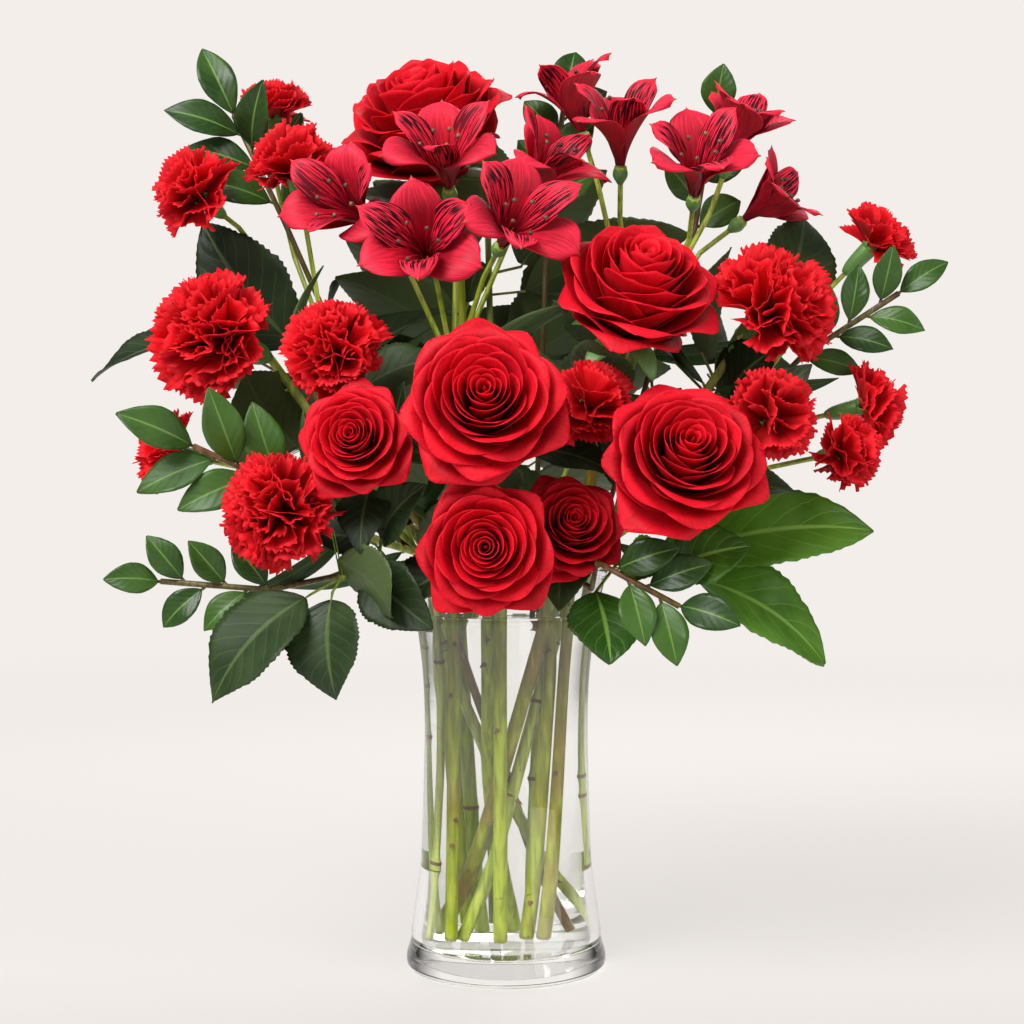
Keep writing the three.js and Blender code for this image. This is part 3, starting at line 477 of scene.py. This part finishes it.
def rose_bloom(node):
    """Petals in a spiral: tightly wound in the middle, then cupped, then wide with pointed tips turned back.

    t is a petal's place in the spiral, 0 in the middle and 1 outside. Each petal's side view is a curve from
    the root over a knee to the edge, and it is then wrapped round the axis."""
    at = BloomFrame(node)
    body = Body(f"{node}_petals")
    pick = draws(node)
    size, depth = at.radius, at.depth
    u, v = petal_grid(16, 21)
    side = np.abs(u)
    for i in range(ROSE_PETALS):
        t = i / (ROSE_PETALS - 1)
        turn = i * GOLDEN + pick.uniform(-0.22, 0.22)
        reach = 1 + pick.uniform(-0.045, 0.045)
        corner = t ** 1.5
        shape = 1 - blend(0.14, pick.uniform(0.4, 0.6), corner) * side ** blend(2.6, 1.15, corner)
        run = v * (shape + pick.uniform(0.05, 0.11) * corner * np.exp(-((u / 0.12) ** 2)))
        edge_out = size * (0.04 + 0.93 * t ** 1.05) * reach
        edge_up = depth * (0.97 - 0.05 * (1 - t) ** 4 - 0.50 * t ** 2.6) * (1 + pick.uniform(-0.02, 0.02))
        knee_out = edge_out * blend(1.12, 0.86, t)
        knee_up = edge_up * blend(0.45, 0.84, t)
        root = 0.05 * size
        out = (1 - run) ** 2 * root + 2 * run * (1 - run) * knee_out + run ** 2 * edge_out
        up = 2 * run * (1 - run) * knee_up + run ** 2 * edge_up
        tip_roll = smooth(0.72, 1.02, run) ** 1.4
        side_roll = side ** 2.6 * smooth(0.35, 1.0, v)
        out = out + size * (0.03 + 0.05 * t) * tip_roll
        up = up - size * (0.02 + 0.13 * t ** 1.3) * tip_roll - size * 0.10 * t ** 1.3 * side_roll
        out = out * (1 + pick.uniform(0.02, 0.13) * u * smooth(0.1, 0.6, v))
        up = up + 0.014 * size * np.sin(4.3 * u + pick.uniform(0, 6)) * v ** 2 * blend(0.5, 2.2, t)
        taper = blend(0.55, 1.0, smooth(0, 0.5, v)) * blend(1.0, 0.9, smooth(0.7, 1, v))
        half = size * blend(0.15, 0.76, t ** 0.8) * taper
        bend = np.maximum(np.maximum(out, 0.045 * size) * blend(1.0, 1.22, t), half / 2.0)
        angle = half * u / bend
        x, y = turned(turn, out - bend * (1 - np.cos(angle)), bend * np.sin(angle))
        body.skin(at.out(x, y, up), ROSE_PETAL, ROSE_RED, pick.uniform(0.3, 0.8))
    bud = np.linspace(0, 1, 7)
    line = at.foot + (0.35 + 0.54 * bud[:, None]) * at.way * depth
    body.tube(line, 0.05 * size * (1.05 - bud ** 3), 12, ROSE_RED, 0.2)
    hip = np.linspace(0, 1, 8)
    line = at.foot + (hip[:, None] * 0.34 - 0.01) * at.way * size
    body.tube(line, 0.16 * size * np.sqrt(np.sin(math.pi * blend(0.25, 0.98, hip))), 16, CALYX)
    return body.build()


def carnation_bloom(node):
    """Ruffled petals with fringed edges, from upright in the middle (t = 0) to below level outside (t = 1)."""
    at = BloomFrame(node)
    body = Body(f"{node}_petals")
    pick = draws(node)
    size, depth = at.radius, at.depth
    big = size > LARGE_BLOOM
    petals = LARGE_CARNATION_PETALS if big else SMALL_CARNATION_PETALS
    u, v = petal_grid(9, 49)
    for i in range(petals):
        t = (i + 0.5) / petals
        polar = blend(0.0, 1.95, t ** 0.72) + pick.uniform(-0.2, 0.2)
        turn = i * GOLDEN + pick.uniform(-0.3, 0.3)
        reach = pick.uniform(0.76, 1.04)
        teeth = np.abs(((u * pick.uniform(5.5, 8) + pick.uniform()) % 1) - 0.5) * 2
        tip_out = 0.93 * size * math.sin(min(polar, 1.75)) * reach
        tip_up = depth * (0.4 + 0.52 * math.cos(polar) * reach)
        knee_out, knee_up = 0.12 * size + 0.3 * tip_out, 0.55 * max(tip_up, 0.3 * depth)
        out = 2 * (1 - v) * v * knee_out + v * v * tip_out
        height = 2 * (1 - v) * v * knee_up + v * v * tip_up
        slope_out = 2 * (1 - 2 * v) * knee_out + 2 * v * tip_out
        slope_up = 2 * (1 - 2 * v) * knee_up + 2 * v * tip_up
        norm = np.sqrt(slope_out ** 2 + slope_up ** 2) + 1e-9
        slope_out, slope_up = slope_out / norm, slope_up / norm
        spin = pick.uniform(-1, 1) * blend(1.3, 0.45, t)
        half = size * (0.05 + (blend(0.48, 0.66, t) if big else 0.74) * v ** 1.3)
        phase, folds = pick.uniform(0, 6.3), pick.uniform(1.1, 1.9)
        wave = np.sin(folds * math.pi * u + phase) + 0.4 * np.sin(2.3 * folds * math.pi * u + 2 * phase)
        ruffle = size * (0.14 if big else 0.10) * v ** 1.8 * wave
        fringe = size * smooth(0.78, 1, v) * (0.10 * teeth - 0.05) - 0.24 * size * v ** 2 * u ** 2
        sideways = half * u * math.cos(spin)
        normal = half * u * math.sin(spin) + ruffle
        radial = out + slope_out * fringe - slope_up * normal
        up = height + slope_up * fringe + slope_out * normal
        x, y = turned(turn, radial, sideways)
        z = np.clip(up, -2 * MM, depth + 3 * MM)
        body.skin(at.out(x, y, z), CARNATION_PETAL, CARNATION_RED, pick.uniform(0.25, 0.8))
    return body.build()


def alstroemeria_bloom(node):
    """Six tepals, by turns broad outer ones and narrow streaked inner ones, round six stamens."""
    at = BloomFrame(node)
    body = Body(f"{node}_petals")
    pick = draws(node)
    size = at.radius
    u, v = petal_grid(24, 15)
    start = math.pi / 2 + pick.uniform(-0.25, 0.25)
    widest = 0.64
    outline = np.where(
        v < widest,
        blend(0.12, 1.0, smooth(0.1, 1.0, v / widest)),
        np.sqrt(np.clip(1 - 0.985 * ((v - widest) / (1 - widest)) ** 2.4, 0.01, 1)))
    for i in range(6):
        inner = i % 2
        turn = start + i * math.pi / 3 + pick.uniform(-0.1, 0.1)
        length = size * (1.78 if inner else 1.7) * pick.uniform(0.94, 1.05)
        length = length * (1 - 0.06 * u ** 2 + 0.05 * np.exp(-((u / 0.14) ** 2)))
        spread = math.radians(pick.uniform(32, 54) if inner else pick.uniform(50, 84))
        lean = blend(math.radians(12), spread, v ** 1.2) + pick.uniform(0.4, 1.1) * smooth(0.7, 1.1, v)
        half = size * (0.34 if inner else 0.48) * outline
        x, y, z = bent_petal(u, v, turn, length, lean, 0.07 * size, half, 2.1, 0.02 * size)
        wave = 0.07 * size * np.sin(7 * v + pick.uniform(0, 6)) * u * np.abs(u)
        crease = 0.07 * size * v * (1 - np.abs(u)) ** 3
        tone = pick.uniform(0.62, 0.8) if inner else pick.uniform(0.3, 0.52)
        body.skin(at.out(x, y, z + (wave - crease)), ALSTRO_PETAL, ALSTRO_RED, tone)
    for i in range(6):
        turn = start + 0.5 + i * 1.05
        run = np.linspace(0, 1, 9)
        out = size * (0.05 + 0.3 * run ** 1.6) * pick.uniform(0.8, 1.1)
        up = size * 1.25 * run * pick.uniform(0.82, 1.0)
        line = at.out(out * math.cos(turn), out * math.sin(turn) - 0.1 * size * run ** 3, up)
        body.tube(line, 0.45 * MM, 6, ALSTRO_RED, 0.3)
        along = unit(line[-1] - line[-2]) * 0.5 + at.right * 0.5
        end = line[-1] + np.outer(np.linspace(-1.6, 1.6, 5) * MM, along)
        body.tube(end, np.array((0.5, 1.0, 1.15, 1.0, 0.5)) * MM, 8, ANTHER)
    return body.build()


# ---- Leaves, found in the CAD solids as the parts that are too thin to be stems ------------------

BLADE_THICKNESS = 0.97 * MM  # a CAD part thinner than this is a leaf
SMALLEST_BLADE = 10  # triangles; a smaller thin part is no leaf


def blades_and_rest(node):
    """Splits a plant's CAD triangles into leaf blades and the rest."""
    points, triangles = weld(node)
    tree = BVHTree.FromPolygons([Vector(p) for p in points], [tuple(t) for t in triangles])
    a, b, c = (points[triangles[:, i]] for i in range(3))
    middles, normals = (a + b + c) / 3, unit(np.cross(b - a, c - a))
    thin = np.zeros(len(triangles), bool)
    for i, (middle, normal) in enumerate(zip(middles, normals)):
        hit = tree.ray_cast(Vector(middle - normal * 1e-5), Vector(-normal), 0.02)
        thin[i] = hit[0] is not None and hit[3] < BLADE_THICKNESS
    parent = {}

    def root(x):
        while parent.setdefault(x, x) != x:
            x = parent[x]
        return x

    for i in np.flatnonzero(thin):
        for other in triangles[i][1:]:
            parent[root(other)] = root(triangles[i][0])
    groups = {}
    for i in np.flatnonzero(thin):
        groups.setdefault(root(triangles[i][0]), []).append(i)
    thick_corners = np.unique(triangles[~thin])
    leaves = []
    for members in groups.values():
        if len(members) < SMALLEST_BLADE:
            continue
        corners = np.unique(triangles[members])
        shared = np.intersect1d(corners, thick_corners)
        leaf = leaf_frame(points, corners, shared)
        if leaf:
            leaves.append(leaf)
    return leaves, points, triangles, thin


def leaf_frame(points, corners, shared):
    """A leaf's base, tip, width, side and face from the corners of its CAD blade."""
    cloud = points[corners]
    if len(shared) == 0:
        return None
    base = points[shared].mean(0)
    tip = cloud[np.linalg.norm(cloud - base, axis=1).argmax()]
    along = tip - base
    length = np.linalg.norm(along)
    way = along / length
    off = cloud - base
    off = off - np.outer(off @ way, way)
    side = np.linalg.svd(off - off.mean(0))[2][0]
    side = unit(side - way * side.dot(way))
    face = np.cross(way, side)
    reach = off @ side
    width = np.ptp(reach)
    if length < 8 * MM or width < 3 * MM:
        return None
    rim = np.abs(reach) > 0.3 * width
    rib = np.abs(reach) < 0.12 * width
    if rim.any() and rib.any() and (off[rim] @ face).mean() < (off[rib] @ face).mean():
        side, face = -side, -face
    return {"base": base, "tip": tip, "way": way, "side": side, "face": face, "length": length, "width": width}


LEAF_KINDS = {
    "rose": {
        "material": ROSE_LEAF, "rows": 45, "columns": 13, "widest": 0.42,
        "teeth": 24, "bite": 0.09, "pairs": 9},
    "broad": {
        "material": BROAD_LEAF, "rows": 37, "columns": 13, "widest": 0.47,
        "teeth": 15, "bite": 0.08, "pairs": 7},
    "twig": {
        "material": TWIG_LEAF, "rows": 21, "columns": 9, "widest": 0.48,
        "teeth": 16, "bite": 0.02, "pairs": 8},
    "strap": {
        "material": STRAP_LEAF, "rows": 25, "columns": 7, "widest": 0.4,
        "teeth": 0, "bite": 0.0, "pairs": 3},
}


def add_leaf(body, leaf, kind, pick):
    """An arched, folded, slightly waved blade with a toothed outline, between a CAD leaf's base and tip."""
    look = LEAF_KINDS[kind]
    u, v = petal_grid(look["rows"], look["columns"])
    power = math.log(0.5) / math.log(look["widest"])
    outline = np.sin(math.pi * v ** power) ** 0.82
    if look["teeth"]:
        saw = (v * look["teeth"]) % 1
        outline = outline * (1 + look["bite"] * (saw - 0.5) * smooth(0.0, 0.15, v))
    half = leaf["width"] * 0.54 * np.maximum(outline, 0.03)
    size = leaf["length"]
    rise = 0.48 * size * v * (1 - v) * pick.uniform(0.7, 1.1)
    wave = 0.03 * leaf["width"] * np.sin(math.pi * 2 * (v * 1.7 + pick.uniform())) * u * np.abs(u)
    quilt = 0.12 * MM * np.cos(2 * math.pi * (v * look["pairs"] - np.abs(u) * 2.1)) * smooth(0, 0.3, np.abs(u))
    fold = pick.uniform(0.12, 0.3)
    lift = rise + wave + quilt + fold * half * np.abs(u) ** 1.2
    twist = pick.uniform(-0.25, 0.25) * v
    side = np.cos(twist)[..., None] * leaf["side"] + np.sin(twist)[..., None] * leaf["face"]
    points = leaf["base"] + (v * size)[..., None] * leaf["way"] + (u * half)[..., None] * side
    points = points + lift[..., None] * leaf["face"]
    body.skin(points[:, ::-1], 0.35 * MM, look["material"], pick.uniform(0.15, 0.85))


# ---- Stems ---------------------------------------------------------------------------------------

VASE_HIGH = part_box("vase")[1]
RIM = VASE_HIGH.z
MOUTH = RIM + 2 * MM  # above this height a stem is as in the CAD model; below, it is rebuilt round and smooth
STEM_OVERLAP = 30 * MM  # how far the CAD stem runs on inside the rebuilt one


def stem_line(points, triangles, heights):
    """The middle and radius of a plant's stem in the vase at each height, where its CAD edges cross it."""
    inside = np.hypot(points[:, 0], points[:, 1])[triangles].max(axis=1) < VASE_HIGH.x
    sides = triangles[inside]
    edges = np.concatenate([sides[:, [0, 1]], sides[:, [1, 2]], sides[:, [2, 0]]])
    edges = np.unique(np.sort(edges, axis=1), axis=0)
    a, b = points[edges[:, 0]], points[edges[:, 1]]
    line, radii = [], []
    for height in heights:
        crossed = (a[:, 2] - height) * (b[:, 2] - height) < 0
        share = (height - a[crossed, 2]) / (b[crossed, 2] - a[crossed, 2])
        cut = a[crossed] + (b[crossed] - a[crossed]) * share[:, None]
        middle = cut.mean(0)
        line.append(middle)
        radii.append(np.linalg.norm(cut - middle, axis=1).mean())
    return np.array(line), np.array(radii)


PLANTS = {
    "rose": {"stem": ROSE_STEM, "leaf": "rose", "joints": 0, "thorns": 5, "swell": 0.0},
    "carnation": {"stem": CARNATION_STEM, "leaf": "strap", "joints": 3, "thorns": 0, "swell": 0.35},
    "spray": {"stem": CARNATION_STEM, "leaf": "strap", "joints": 3, "thorns": 0, "swell": 0.4},
    "alstroemeria": {"stem": ALSTRO_STEM, "leaf": "strap", "joints": 1, "thorns": 2, "swell": 0.1},
    "twig": {"stem": TWIG_STEM, "leaf": "twig", "joints": 2, "thorns": 0, "swell": 0.3},
    "branch": {"stem": BRANCH_STEM, "leaf": "rose", "joints": 2, "thorns": 0, "swell": 0.3},
}
GLOSSY_BRANCHES = ("branch_low_right",)


def stem_in_vase(body, kind, points, triangles, pick):
    """The part of a stem that stands in the vase: joints or thorns, scars, and a pale cut end."""
    foot = points[:, 2].min()
    heights = np.linspace(foot + 1.5 * MM, MOUTH + 5 * MM, 60)
    line, radii = stem_line(points, triangles, heights)
    for _ in range(10):
        line[1:-1] = (line[:-2] + 2 * line[1:-1] + line[2:]) / 4
    radius = np.median(radii) * 1.04
    way = unit(np.gradient(line, axis=0))
    girth = np.full(len(line), radius) * (1 + 0.02 * np.sin(np.linspace(0, 9, len(line)) + pick.uniform(0, 6)))
    tone = pick.uniform(0.1, 0.9)
    places = np.sort(pick.uniform(0.12, 0.95, kind["joints"]))
    for share in places:
        at = int(share * (len(line) - 1))
        spread = np.exp(-(((heights - heights[at]) / (2.6 * MM)) ** 2))
        girth = girth * (1 + kind["swell"] * spread)
        ring = line[at] + np.outer(np.linspace(-0.9, 0.9, 4) * MM, way[at])
        body.tube(ring, girth[at] * np.array((0.99, 1.06, 1.06, 0.99)), 18, SCAR)
    body.tube(line, girth, 18, kind["stem"], tone)
    end = line[0] + np.outer(np.array((-0.7, 0.0)) * MM, way[0])
    body.tube(end, girth[0] * np.array((0.86, 0.93)), 18, PITH)
    for _ in range(kind["thorns"]):
        at = int(pick.uniform(0.1, 0.95) * (len(line) - 1))
        turn = pick.uniform(0, 2 * math.pi)
        side = unit(np.cross(way[at], (math.cos(turn), math.sin(turn), 0.1)))
        thorn = line[at] + np.outer(np.array((0.7, 1.0, 1.5, 1.95)) * girth[at], side) + np.outer(
            np.array((0, 0, -0.4, -1.2)) * MM, UP)
        body.tube(thorn, np.array((1.7, 1.2, 0.6, 0.08)) * MM, 9, SCAR)


def add_calyx(body, bloom):
    """The green cup under a bloom: a carnation's toothed tube, or a rose's five turned-back sepals."""
    at = BloomFrame(bloom)
    run = np.linspace(0, 1, 9)
    if bloom.startswith("rose"):
        for i in range(5):
            u, v = petal_grid(12, 5)
            turn = i * 2 * math.pi / 5
            half = 0.13 * at.radius * np.sin(math.pi * (0.15 + 0.85 * v)) ** 0.7 + 0.2 * MM
            lean = blend(0.9, 2.5, v)
            length = 0.62 * at.radius * np.ones_like(u)
            x, y, z = bent_petal(u, v, turn, length, lean, 4 * MM, half, 1.4, 0.0)
            body.skin(at.out(x, y, z - 1.2 * MM), 0.5 * MM, CALYX)
        return
    if bloom.startswith("alstroemeria"):
        girth = np.array((1.5, 2.2, 3.0, 3.6, 3.9, 3.8, 3.4, 2.8, 2.4)) * MM
        body.tube(at.foot + np.outer((run * 10 - 9.5) * MM, at.way), girth, 14, CALYX)
        return
    single = at.radius > LARGE_BLOOM
    length, girth = (29 * MM, 7.2 * MM) if single else (18 * MM, 4.4 * MM)
    shape = np.array((0.42, 0.66, 0.8, 0.88, 0.93, 0.97, 1.0, 1.03, 1.0))
    body.tube(at.foot + np.outer((run - 0.93) * length, at.way), girth * shape, 18, CALYX)
    for i in range(5):
        u, v = petal_grid(5, 5)
        half = girth * 0.6 * (1 - v) + 0.2 * MM
        lean = np.full_like(u, 0.2)
        tall = 0.3 * length * np.ones_like(u)
        x, y, z = bent_petal(u, v, i * 2 * math.pi / 5, tall, lean, girth * 1.0, half, 1.0, 0.0)
        body.skin(at.out(x, y, z), 0.4 * MM, CALYX)


def plant(node):
    """A plant's stem, cups and leaves, as one piece."""
    kind = PLANTS[node.split("_")[0]]
    body = Body(f"{node}_green")
    pick = draws(node)
    leaves, points, triangles, thin = blades_and_rest(node)
    lowest = points[triangles][:, :, 2].min(axis=1)
    out = np.hypot(points[:, 0], points[:, 1])[triangles].max(axis=1)
    upper = ~thin & ((lowest > MOUTH - STEM_OVERLAP) | (out > VASE_HIGH.x))
    body.add(points, triangles[upper], np.zeros((len(points), 2)), kind["stem"], pick.uniform(0.2, 0.8))
    stem_in_vase(body, kind, points, triangles[~thin], pick)
    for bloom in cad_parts:
        if not bloom.endswith("_stem") and bloom not in ("vase", "water") and stem_of(bloom) == node:
            add_calyx(body, bloom)
    for leaf in leaves:
        add_leaf(body, leaf, "broad" if node in GLOSSY_BRANCHES else kind["leaf"], pick)
    return body.build()


# ---- Vase and water ------------------------------------------------------------------------------

def lathe(name, profile, material, sides=160):
    """A body turned about +Z from a profile of (radius, height) that starts and ends on the axis."""
    body = Body(name)
    turn = np.arange(sides) * 2 * math.pi / sides
    profile = np.array(profile)
    profile[[0, -1], 0] = 1e-6
    ring = np.stack([np.cos(turn), np.sin(turn)], -1)
    heights = np.repeat(profile[:, None, 1:], sides, axis=1)
    rings = np.concatenate([profile[:, None, :1] * ring[None], heights], -1)
    body.rings(rings, material)
    return body.build()


def rounded(corner, before, after, radius, steps=6):
    """The points of a round corner between two straight runs of a profile."""
    corner, before, after = (np.array(p, float) for p in (corner, before, after))
    a = corner + unit(before - corner) * radius
    b = corner + unit(after - corner) * radius
    t = np.linspace(0, 1, steps)[:, None]
    return list((1 - t) ** 2 * a + 2 * t * (1 - t) * corner + t ** 2 * b)


def wall_profile():
    """The vase's outer and inner radius by height, as smooth curves through its CAD rings."""
    points, _ = weld("vase")
    radii = np.round(np.hypot(points[:, 0], points[:, 1]), 5)
    rings = np.unique(np.stack([radii, np.round(points[:, 2], 5)], -1), axis=0)
    rings = rings[rings[:, 0] > 30 * MM]
    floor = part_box("water")[0].z
    levels = np.unique(rings[:, 1])
    outer, inner = [], []
    for level in levels:
        at = rings[rings[:, 1] == level, 0]
        if 4 * MM < level < RIM - 1e-5:
            outer.append((level, at.max()))
        if floor + 1 * MM < level < RIM - 1e-5:
            inner.append((level, at.min()))
    outer, inner = np.array(outer), np.array(inner)
    outer = outer[outer[:, 1] > 40 * MM]
    return np.poly1d(np.polyfit(*outer.T, 5)), np.poly1d(np.polyfit(*inner.T, 4)), floor


outer_radius, inner_radius, water_foot = wall_profile()


def build_vase():
    """Clear glass: a thick foot with rounded edges, a waisted wall, a round rim and a dished floor inside."""
    heights = np.linspace(8 * MM, RIM - 3 * MM, 60)
    outside = [(outer_radius(z), z) for z in heights]
    inside = [(inner_radius(z), z) for z in heights[::-1] if z > water_foot + 6 * MM]
    foot = outer_radius(4 * MM)
    rim_out, rim_in = outer_radius(RIM), inner_radius(RIM)
    rim_middle = (rim_out + rim_in) / 2
    rim_half = (rim_out - rim_in) / 2
    turn = np.linspace(0, math.pi, 9)
    rim = [(rim_middle + rim_half * math.cos(a), RIM - rim_half + rim_half * math.sin(a)) for a in turn]
    bottom = [(0, 0), (foot - 9 * MM, 0), *rounded((foot - 0.5 * MM, 0), (0, 0), outside[0], 6 * MM)]
    corner = (inner_radius(water_foot + 2 * MM), water_foot - 0.3 * MM)
    dish = [*rounded(corner, inside[-1], (0, corner[1]), 7 * MM, 8), (0, corner[1])]
    return lathe("vase_glass", bottom + outside + rim + inside + dish, GLASS)


def build_water():
    """The water meets the glass: it reaches a little into the wall, and curls up where it meets it."""
    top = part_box("water")[1].z
    grown = 0.15 * MM
    low = water_foot - 0.3 * MM - grown
    heights = np.linspace(water_foot + 8 * MM, top, 40)
    side = [(inner_radius(z) + grown, z) for z in heights]
    corner = (inner_radius(water_foot + 2 * MM) + grown, low)
    bottom = [(0, low), *rounded(corner, (0, low), side[0], 7 * MM, 8)]
    edge = inner_radius(top)
    surface = [(edge - s * 5 * MM, top + 1.6 * MM * (1 - s) ** 3) for s in np.linspace(0, 1, 7)]
    surface[0] = (edge + grown, top + 1.6 * MM)
    return lathe("vase_water", bottom + side[:-1] + surface + [(0, top)], WATER)


# ---- The object ----------------------------------------------------------------------------------

BLOOMS = {
    "rose": rose_bloom,
    "carnation": carnation_bloom,
    "spray": carnation_bloom,
    "alstroemeria": alstroemeria_bloom,
}


def show(piece, node):
    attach(piece, "root")
    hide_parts(node)


for node in sorted(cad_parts):
    family = node.split("_")[0]
    if node == "vase":
        show(build_vase(), node)
    elif node == "water":
        show(build_water(), node)
    elif node.endswith("_stem") or family in ("twig", "branch"):
        show(plant(node), node)
    else:
        show(BLOOMS[family](node), node)


# ---- Studio --------------------------------------------------------------------------------------

BACKDROP = (0.896, 0.855, 0.823)


def studio_floor():
    """A pale floor with painted shade, darker towards the front, that fades into the backdrop's colour away
    from the object.
    """
    bpy.ops.mesh.primitive_circle_add(vertices=96, radius=3.0, fill_type="NGON", location=(0, 0, -0.0002))
    floor = bpy.context.object
    floor.name = "studio_floor"
    n = Nodes("studio_floor")
    place = n.place()
    forward = n.node("ShaderNodeSeparateXYZ", {0: place}).outputs[1]
    # Painted shade: the floor's colour is darker towards the front and lighter further back.
    behind = n.mix(n.range(forward, 0.0, 0.9), (0.234, 0.223, 0.214), (0.308, 0.294, 0.283))
    n.set(
        Base_Color=n.mix(n.range(forward, 0.0, -0.12), behind, (0.200, 0.190, 0.183)), Roughness=0.7,
        Specular_IOR_Level=0.1, Emission_Color=(*BACKDROP, 1), Emission_Strength=0.62)
    out = n.node("ShaderNodeVectorMath", {0: place}, operation="LENGTH").outputs["Value"]
    clear = n.node("ShaderNodeBsdfTransparent").outputs[0]
    faded = n.node("ShaderNodeMixShader", {0: n.range(out, 0.5, 2.2), 1: n.shader.outputs[0], 2: clear})
    n.tree.links.new(faded.outputs[0], n.output.inputs["Surface"])
    floor.data.materials.append(n.material)


def studio_world():
    """The backdrop as the camera sees it, a soft even light, and dark sides that draw the glass's edges."""
    world = bpy.data.worlds.new("studio")
    bpy.context.scene.world = world
    world.use_nodes = True
    tree = world.node_tree

    def node(kind, inputs=(), **settings):
        return add_node(tree, kind, inputs, **settings).outputs[0]

    path = tree.nodes.new("ShaderNodeLightPath").outputs
    glossy, transmitted = path["Is Glossy Ray"], path["Is Transmission Ray"]
    way = node("ShaderNodeSeparateXYZ", {0: tree.nodes.new("ShaderNodeTexCoord").outputs["Generated"]})
    dim = add_node(tree, "ShaderNodeValToRGB", {0: node("ShaderNodeMath", {0: way}, operation="ABSOLUTE")})
    straight, aside = dim.color_ramp.elements
    straight.position, straight.color = 0.45, (*BACKDROP, 1)
    aside.position, aside.color = 0.75, (0.04, 0.04, 0.04, 1)
    mirrored = node("ShaderNodeMath", {0: glossy, 1: transmitted}, operation="SUBTRACT")
    strength = node("ShaderNodeMapRange", {"Value": mirrored, "To Min": 1.0, "To Max": 0.25})
    by_glass = node("ShaderNodeBackground", {"Color": dim.outputs[0], "Strength": strength})
    room = node("ShaderNodeBackground", {"Color": (1.0, 0.99, 0.98, 1), "Strength": 0.62})
    either = node("ShaderNodeMath", {0: glossy, 1: transmitted}, operation="MAXIMUM")
    unseen = node("ShaderNodeMixShader", {0: either, 1: room, 2: by_glass})
    backdrop = node("ShaderNodeBackground", {"Color": (*BACKDROP, 1), "Strength": 1.0})
    seen = node("ShaderNodeMixShader", {0: path["Is Camera Ray"], 1: unseen, 2: backdrop})
    tree.links.new(seen, tree.nodes["World Output"].inputs["Surface"])


def area_light(name, place, target, size, power):
    data = bpy.data.lights.new(name, "AREA")
    data.size = size
    data.energy = power
    lamp = bpy.data.objects.new(name, data)
    bpy.context.scene.collection.objects.link(lamp)
    lamp.location = place
    lamp.rotation_euler = (Vector(target) - Vector(place)).to_track_quat("-Z", "Y").to_euler()


def studio_camera():
    """A level camera in front of the vase, at the height of the bouquet's lower half."""
    data = bpy.data.cameras.new("camera")
    data.lens = 61.7
    data.sensor_width = 36
    camera = bpy.data.objects.new("camera", data)
    bpy.context.scene.collection.objects.link(camera)
    camera.location = (0.003, -0.9, 0.232)
    camera.rotation_euler = (math.pi / 2, 0, 0)
    bpy.context.scene.camera = camera


studio_floor()
studio_world()
area_light("key", (-0.7, -1.0, 1.2), (0, -0.02, 0.27), 0.85, 28)
area_light("fill", (1.3, -1.0, 0.6), (0, 0, 0.28), 1.2, 7)
area_light("back", (0.4, 1.2, 1.2), (0, 0, 0.3), 0.9, 8)
studio_camera()
scene = bpy.context.scene
scene.view_settings.view_transform = "Standard"
